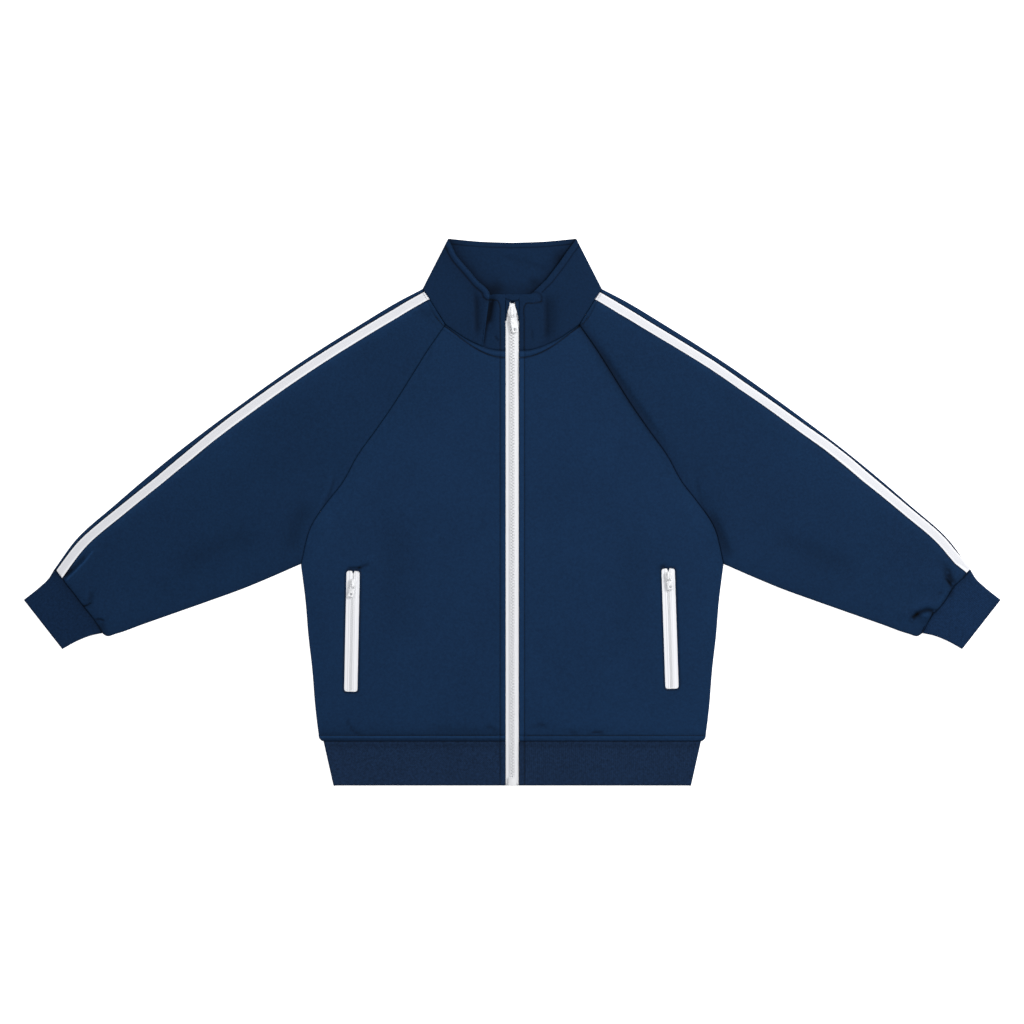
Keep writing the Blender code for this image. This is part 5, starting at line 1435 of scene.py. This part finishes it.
def tape_material(name, colour, rim_highlight_colour, pitch_mm, roughness, specular, width_mm):
    """A narrow white tape: fine crosswise ribs, and a painted highlight in a paler band at each
    edge.
    """
    material, tree = new_material(name, colour, Roughness=roughness, Specular_IOR_Level=specular)
    place = cloth_place(tree)
    ribs, half = ribbed(tree, place[1], pitch_mm), width_mm * MM / 2
    surface = maths(tree, "MULTIPLY_ADD", noise(tree, 1400, 1), 0.5, ribs)
    raise_surface(tree, surface, 0.15 * MM, 0.25)
    # The painted highlight: paler towards each edge
    away = maths(tree, "ABSOLUTE", maths(tree, "SUBTRACT", place[0], half))
    edge = add(tree, "MapRange", {0: away, 1: 0.55 * half, 2: 0.9 * half}).outputs[0]
    tone = maths(tree, "MULTIPLY_ADD", noise(tree, 60, 2), 0.3, edge)
    link(tree, mixed(tree, tone, colour, rim_highlight_colour), "Base Color")
    return material


# Woven polyester satin: floats give a soft silky white, and a painted highlight where the tape
# bends at its edges.
SATIN_TAPE = tape_material("white_satin_tape", "#C9CACF", "#DEDFE3", 1.0, 0.45, 0.4, 12)
# Woven polyester zip tape: duller than the satin, with ribs across it.
WOVEN_TAPE = tape_material("white_woven_zip_tape", "#D4D5D8", "#E2E3E6", 1.3, 0.7, 0.25, 15)
# The pocket zips' tape is finer and closer, and drawn a little whiter as painted light against
# the shade of its recessed slot.
FINE_TAPE_PAINTED_LIGHT = tape_material("white_fine_zip_tape_painted_light", "#DCDDE1", "#E8E9EC", 1.1, 0.65, 0.3, 13)


def smooth_white(name, colour, roughness, grain, **sockets):
    """A hard white finish with a barely uneven surface and tone."""
    material, tree = new_material(name, colour, Roughness=roughness, **sockets)
    cloud = noise(tree, grain, 2)
    rough = add(tree, "MapRange", {0: cloud, 3: roughness * 0.85, 4: roughness * 1.2})
    link(tree, rough.outputs[0], "Roughness")
    raise_surface(tree, cloud, 0.03 * MM, 0.3)
    return material


# Injection-moulded acetal teeth: a slightly waxy white with soft highlights.
ACETAL = smooth_white("white_acetal", "#D2D3D6", 0.38, 500, IOR=1.48)
# Stoved enamel on cast zinc: harder and glossier than the teeth.
ENAMEL = smooth_white("white_stoved_enamel", "#D6D7DA", 0.24, 700, Coat_Weight=0.3,
                      Coat_Roughness=0.15)


def thread_material(name, colour):
    """Spun polyester thread: matt, with a fine uneven twist."""
    material, tree = new_material(name, colour, Roughness=0.6, Specular_IOR_Level=0.15)
    raise_surface(tree, noise(tree, 1200, 1), 0.1 * MM, 0.4)
    return material


# Navy thread drawn near black: its own navy darkened by painted shade of the holes it sinks into.
THREAD_NAVY = thread_material("navy_spun_thread", "#050D18")
# The same thread in grey, drawn dark as painted shade where it crosses the stripes' ends.
STRIPE_THREAD_PAINTED_SHADE = thread_material("grey_spun_thread_painted_shade", "#252E40")


# ---------------------------------------------------------------- stage, light and camera

def add_stage():
    """A pale floor under the jacket, lit evenly from a wide panel above and the room around."""
    mesh = bpy.data.meshes.new("floor")
    corners = [(x, y, FLOOR_Z) for x, y in ((-6, -6), (6, -6), (6, 6), (-6, 6))]
    mesh.from_pydata(corners, [], [(0, 1, 2, 3)])
    floor = put("floor", mesh)
    material, _ = new_material("white_paper", "#FFFFFF", Roughness=0.9, Specular_IOR_Level=0,
                               Emission_Color=(1, 1, 1, 1), Emission_Strength=FLOOR_GLOW)
    mesh.materials.append(material)

    for name, place, size, power in LIGHTS:
        lamp = bpy.data.lights.new(name, "AREA")
        lamp.shape, lamp.size, lamp.energy = "SQUARE", size, power
        holder = put(name, lamp)
        holder.location = place
        holder.rotation_euler = (-Vector(place)).to_track_quat("-Z", "Y").to_euler()

    scene = bpy.context.scene
    scene.world = bpy.data.worlds.new("soft_room")
    scene.world.use_nodes = True
    sky = scene.world.node_tree.nodes["Background"].inputs
    sky[0].default_value, sky[1].default_value = (1, 1, 1, 1), WORLD_LIGHT

    data = bpy.data.cameras.new("camera")
    data.sensor_width, data.lens, data.clip_end = 36, 36 * CAMERA_HEIGHT / FIELD, 50
    camera = put("camera", data)
    camera.location = (CAMERA_X, 0, CAMERA_HEIGHT)
    scene.camera = camera
    scene.view_settings.view_transform = "Standard"


# ---------------------------------------------------------------- the jacket


add_stage()
add_back()
band, band_points = add_hem_band()
collar, *collar_halves = add_collar()
add_chin_guard()
stripe_points = []
for side in SIDES:
    add_front(side)
    sleeve, *layers = add_sleeve(side)
    stripe, points = add_stripe(side, *layers)
    stripe_points.append(points)
    add_cuff(side)
    for tape in add_pocket_zip(side):
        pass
for tape in add_main_zip():
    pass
add_all_stitches(band_points, collar_halves, stripe_points)
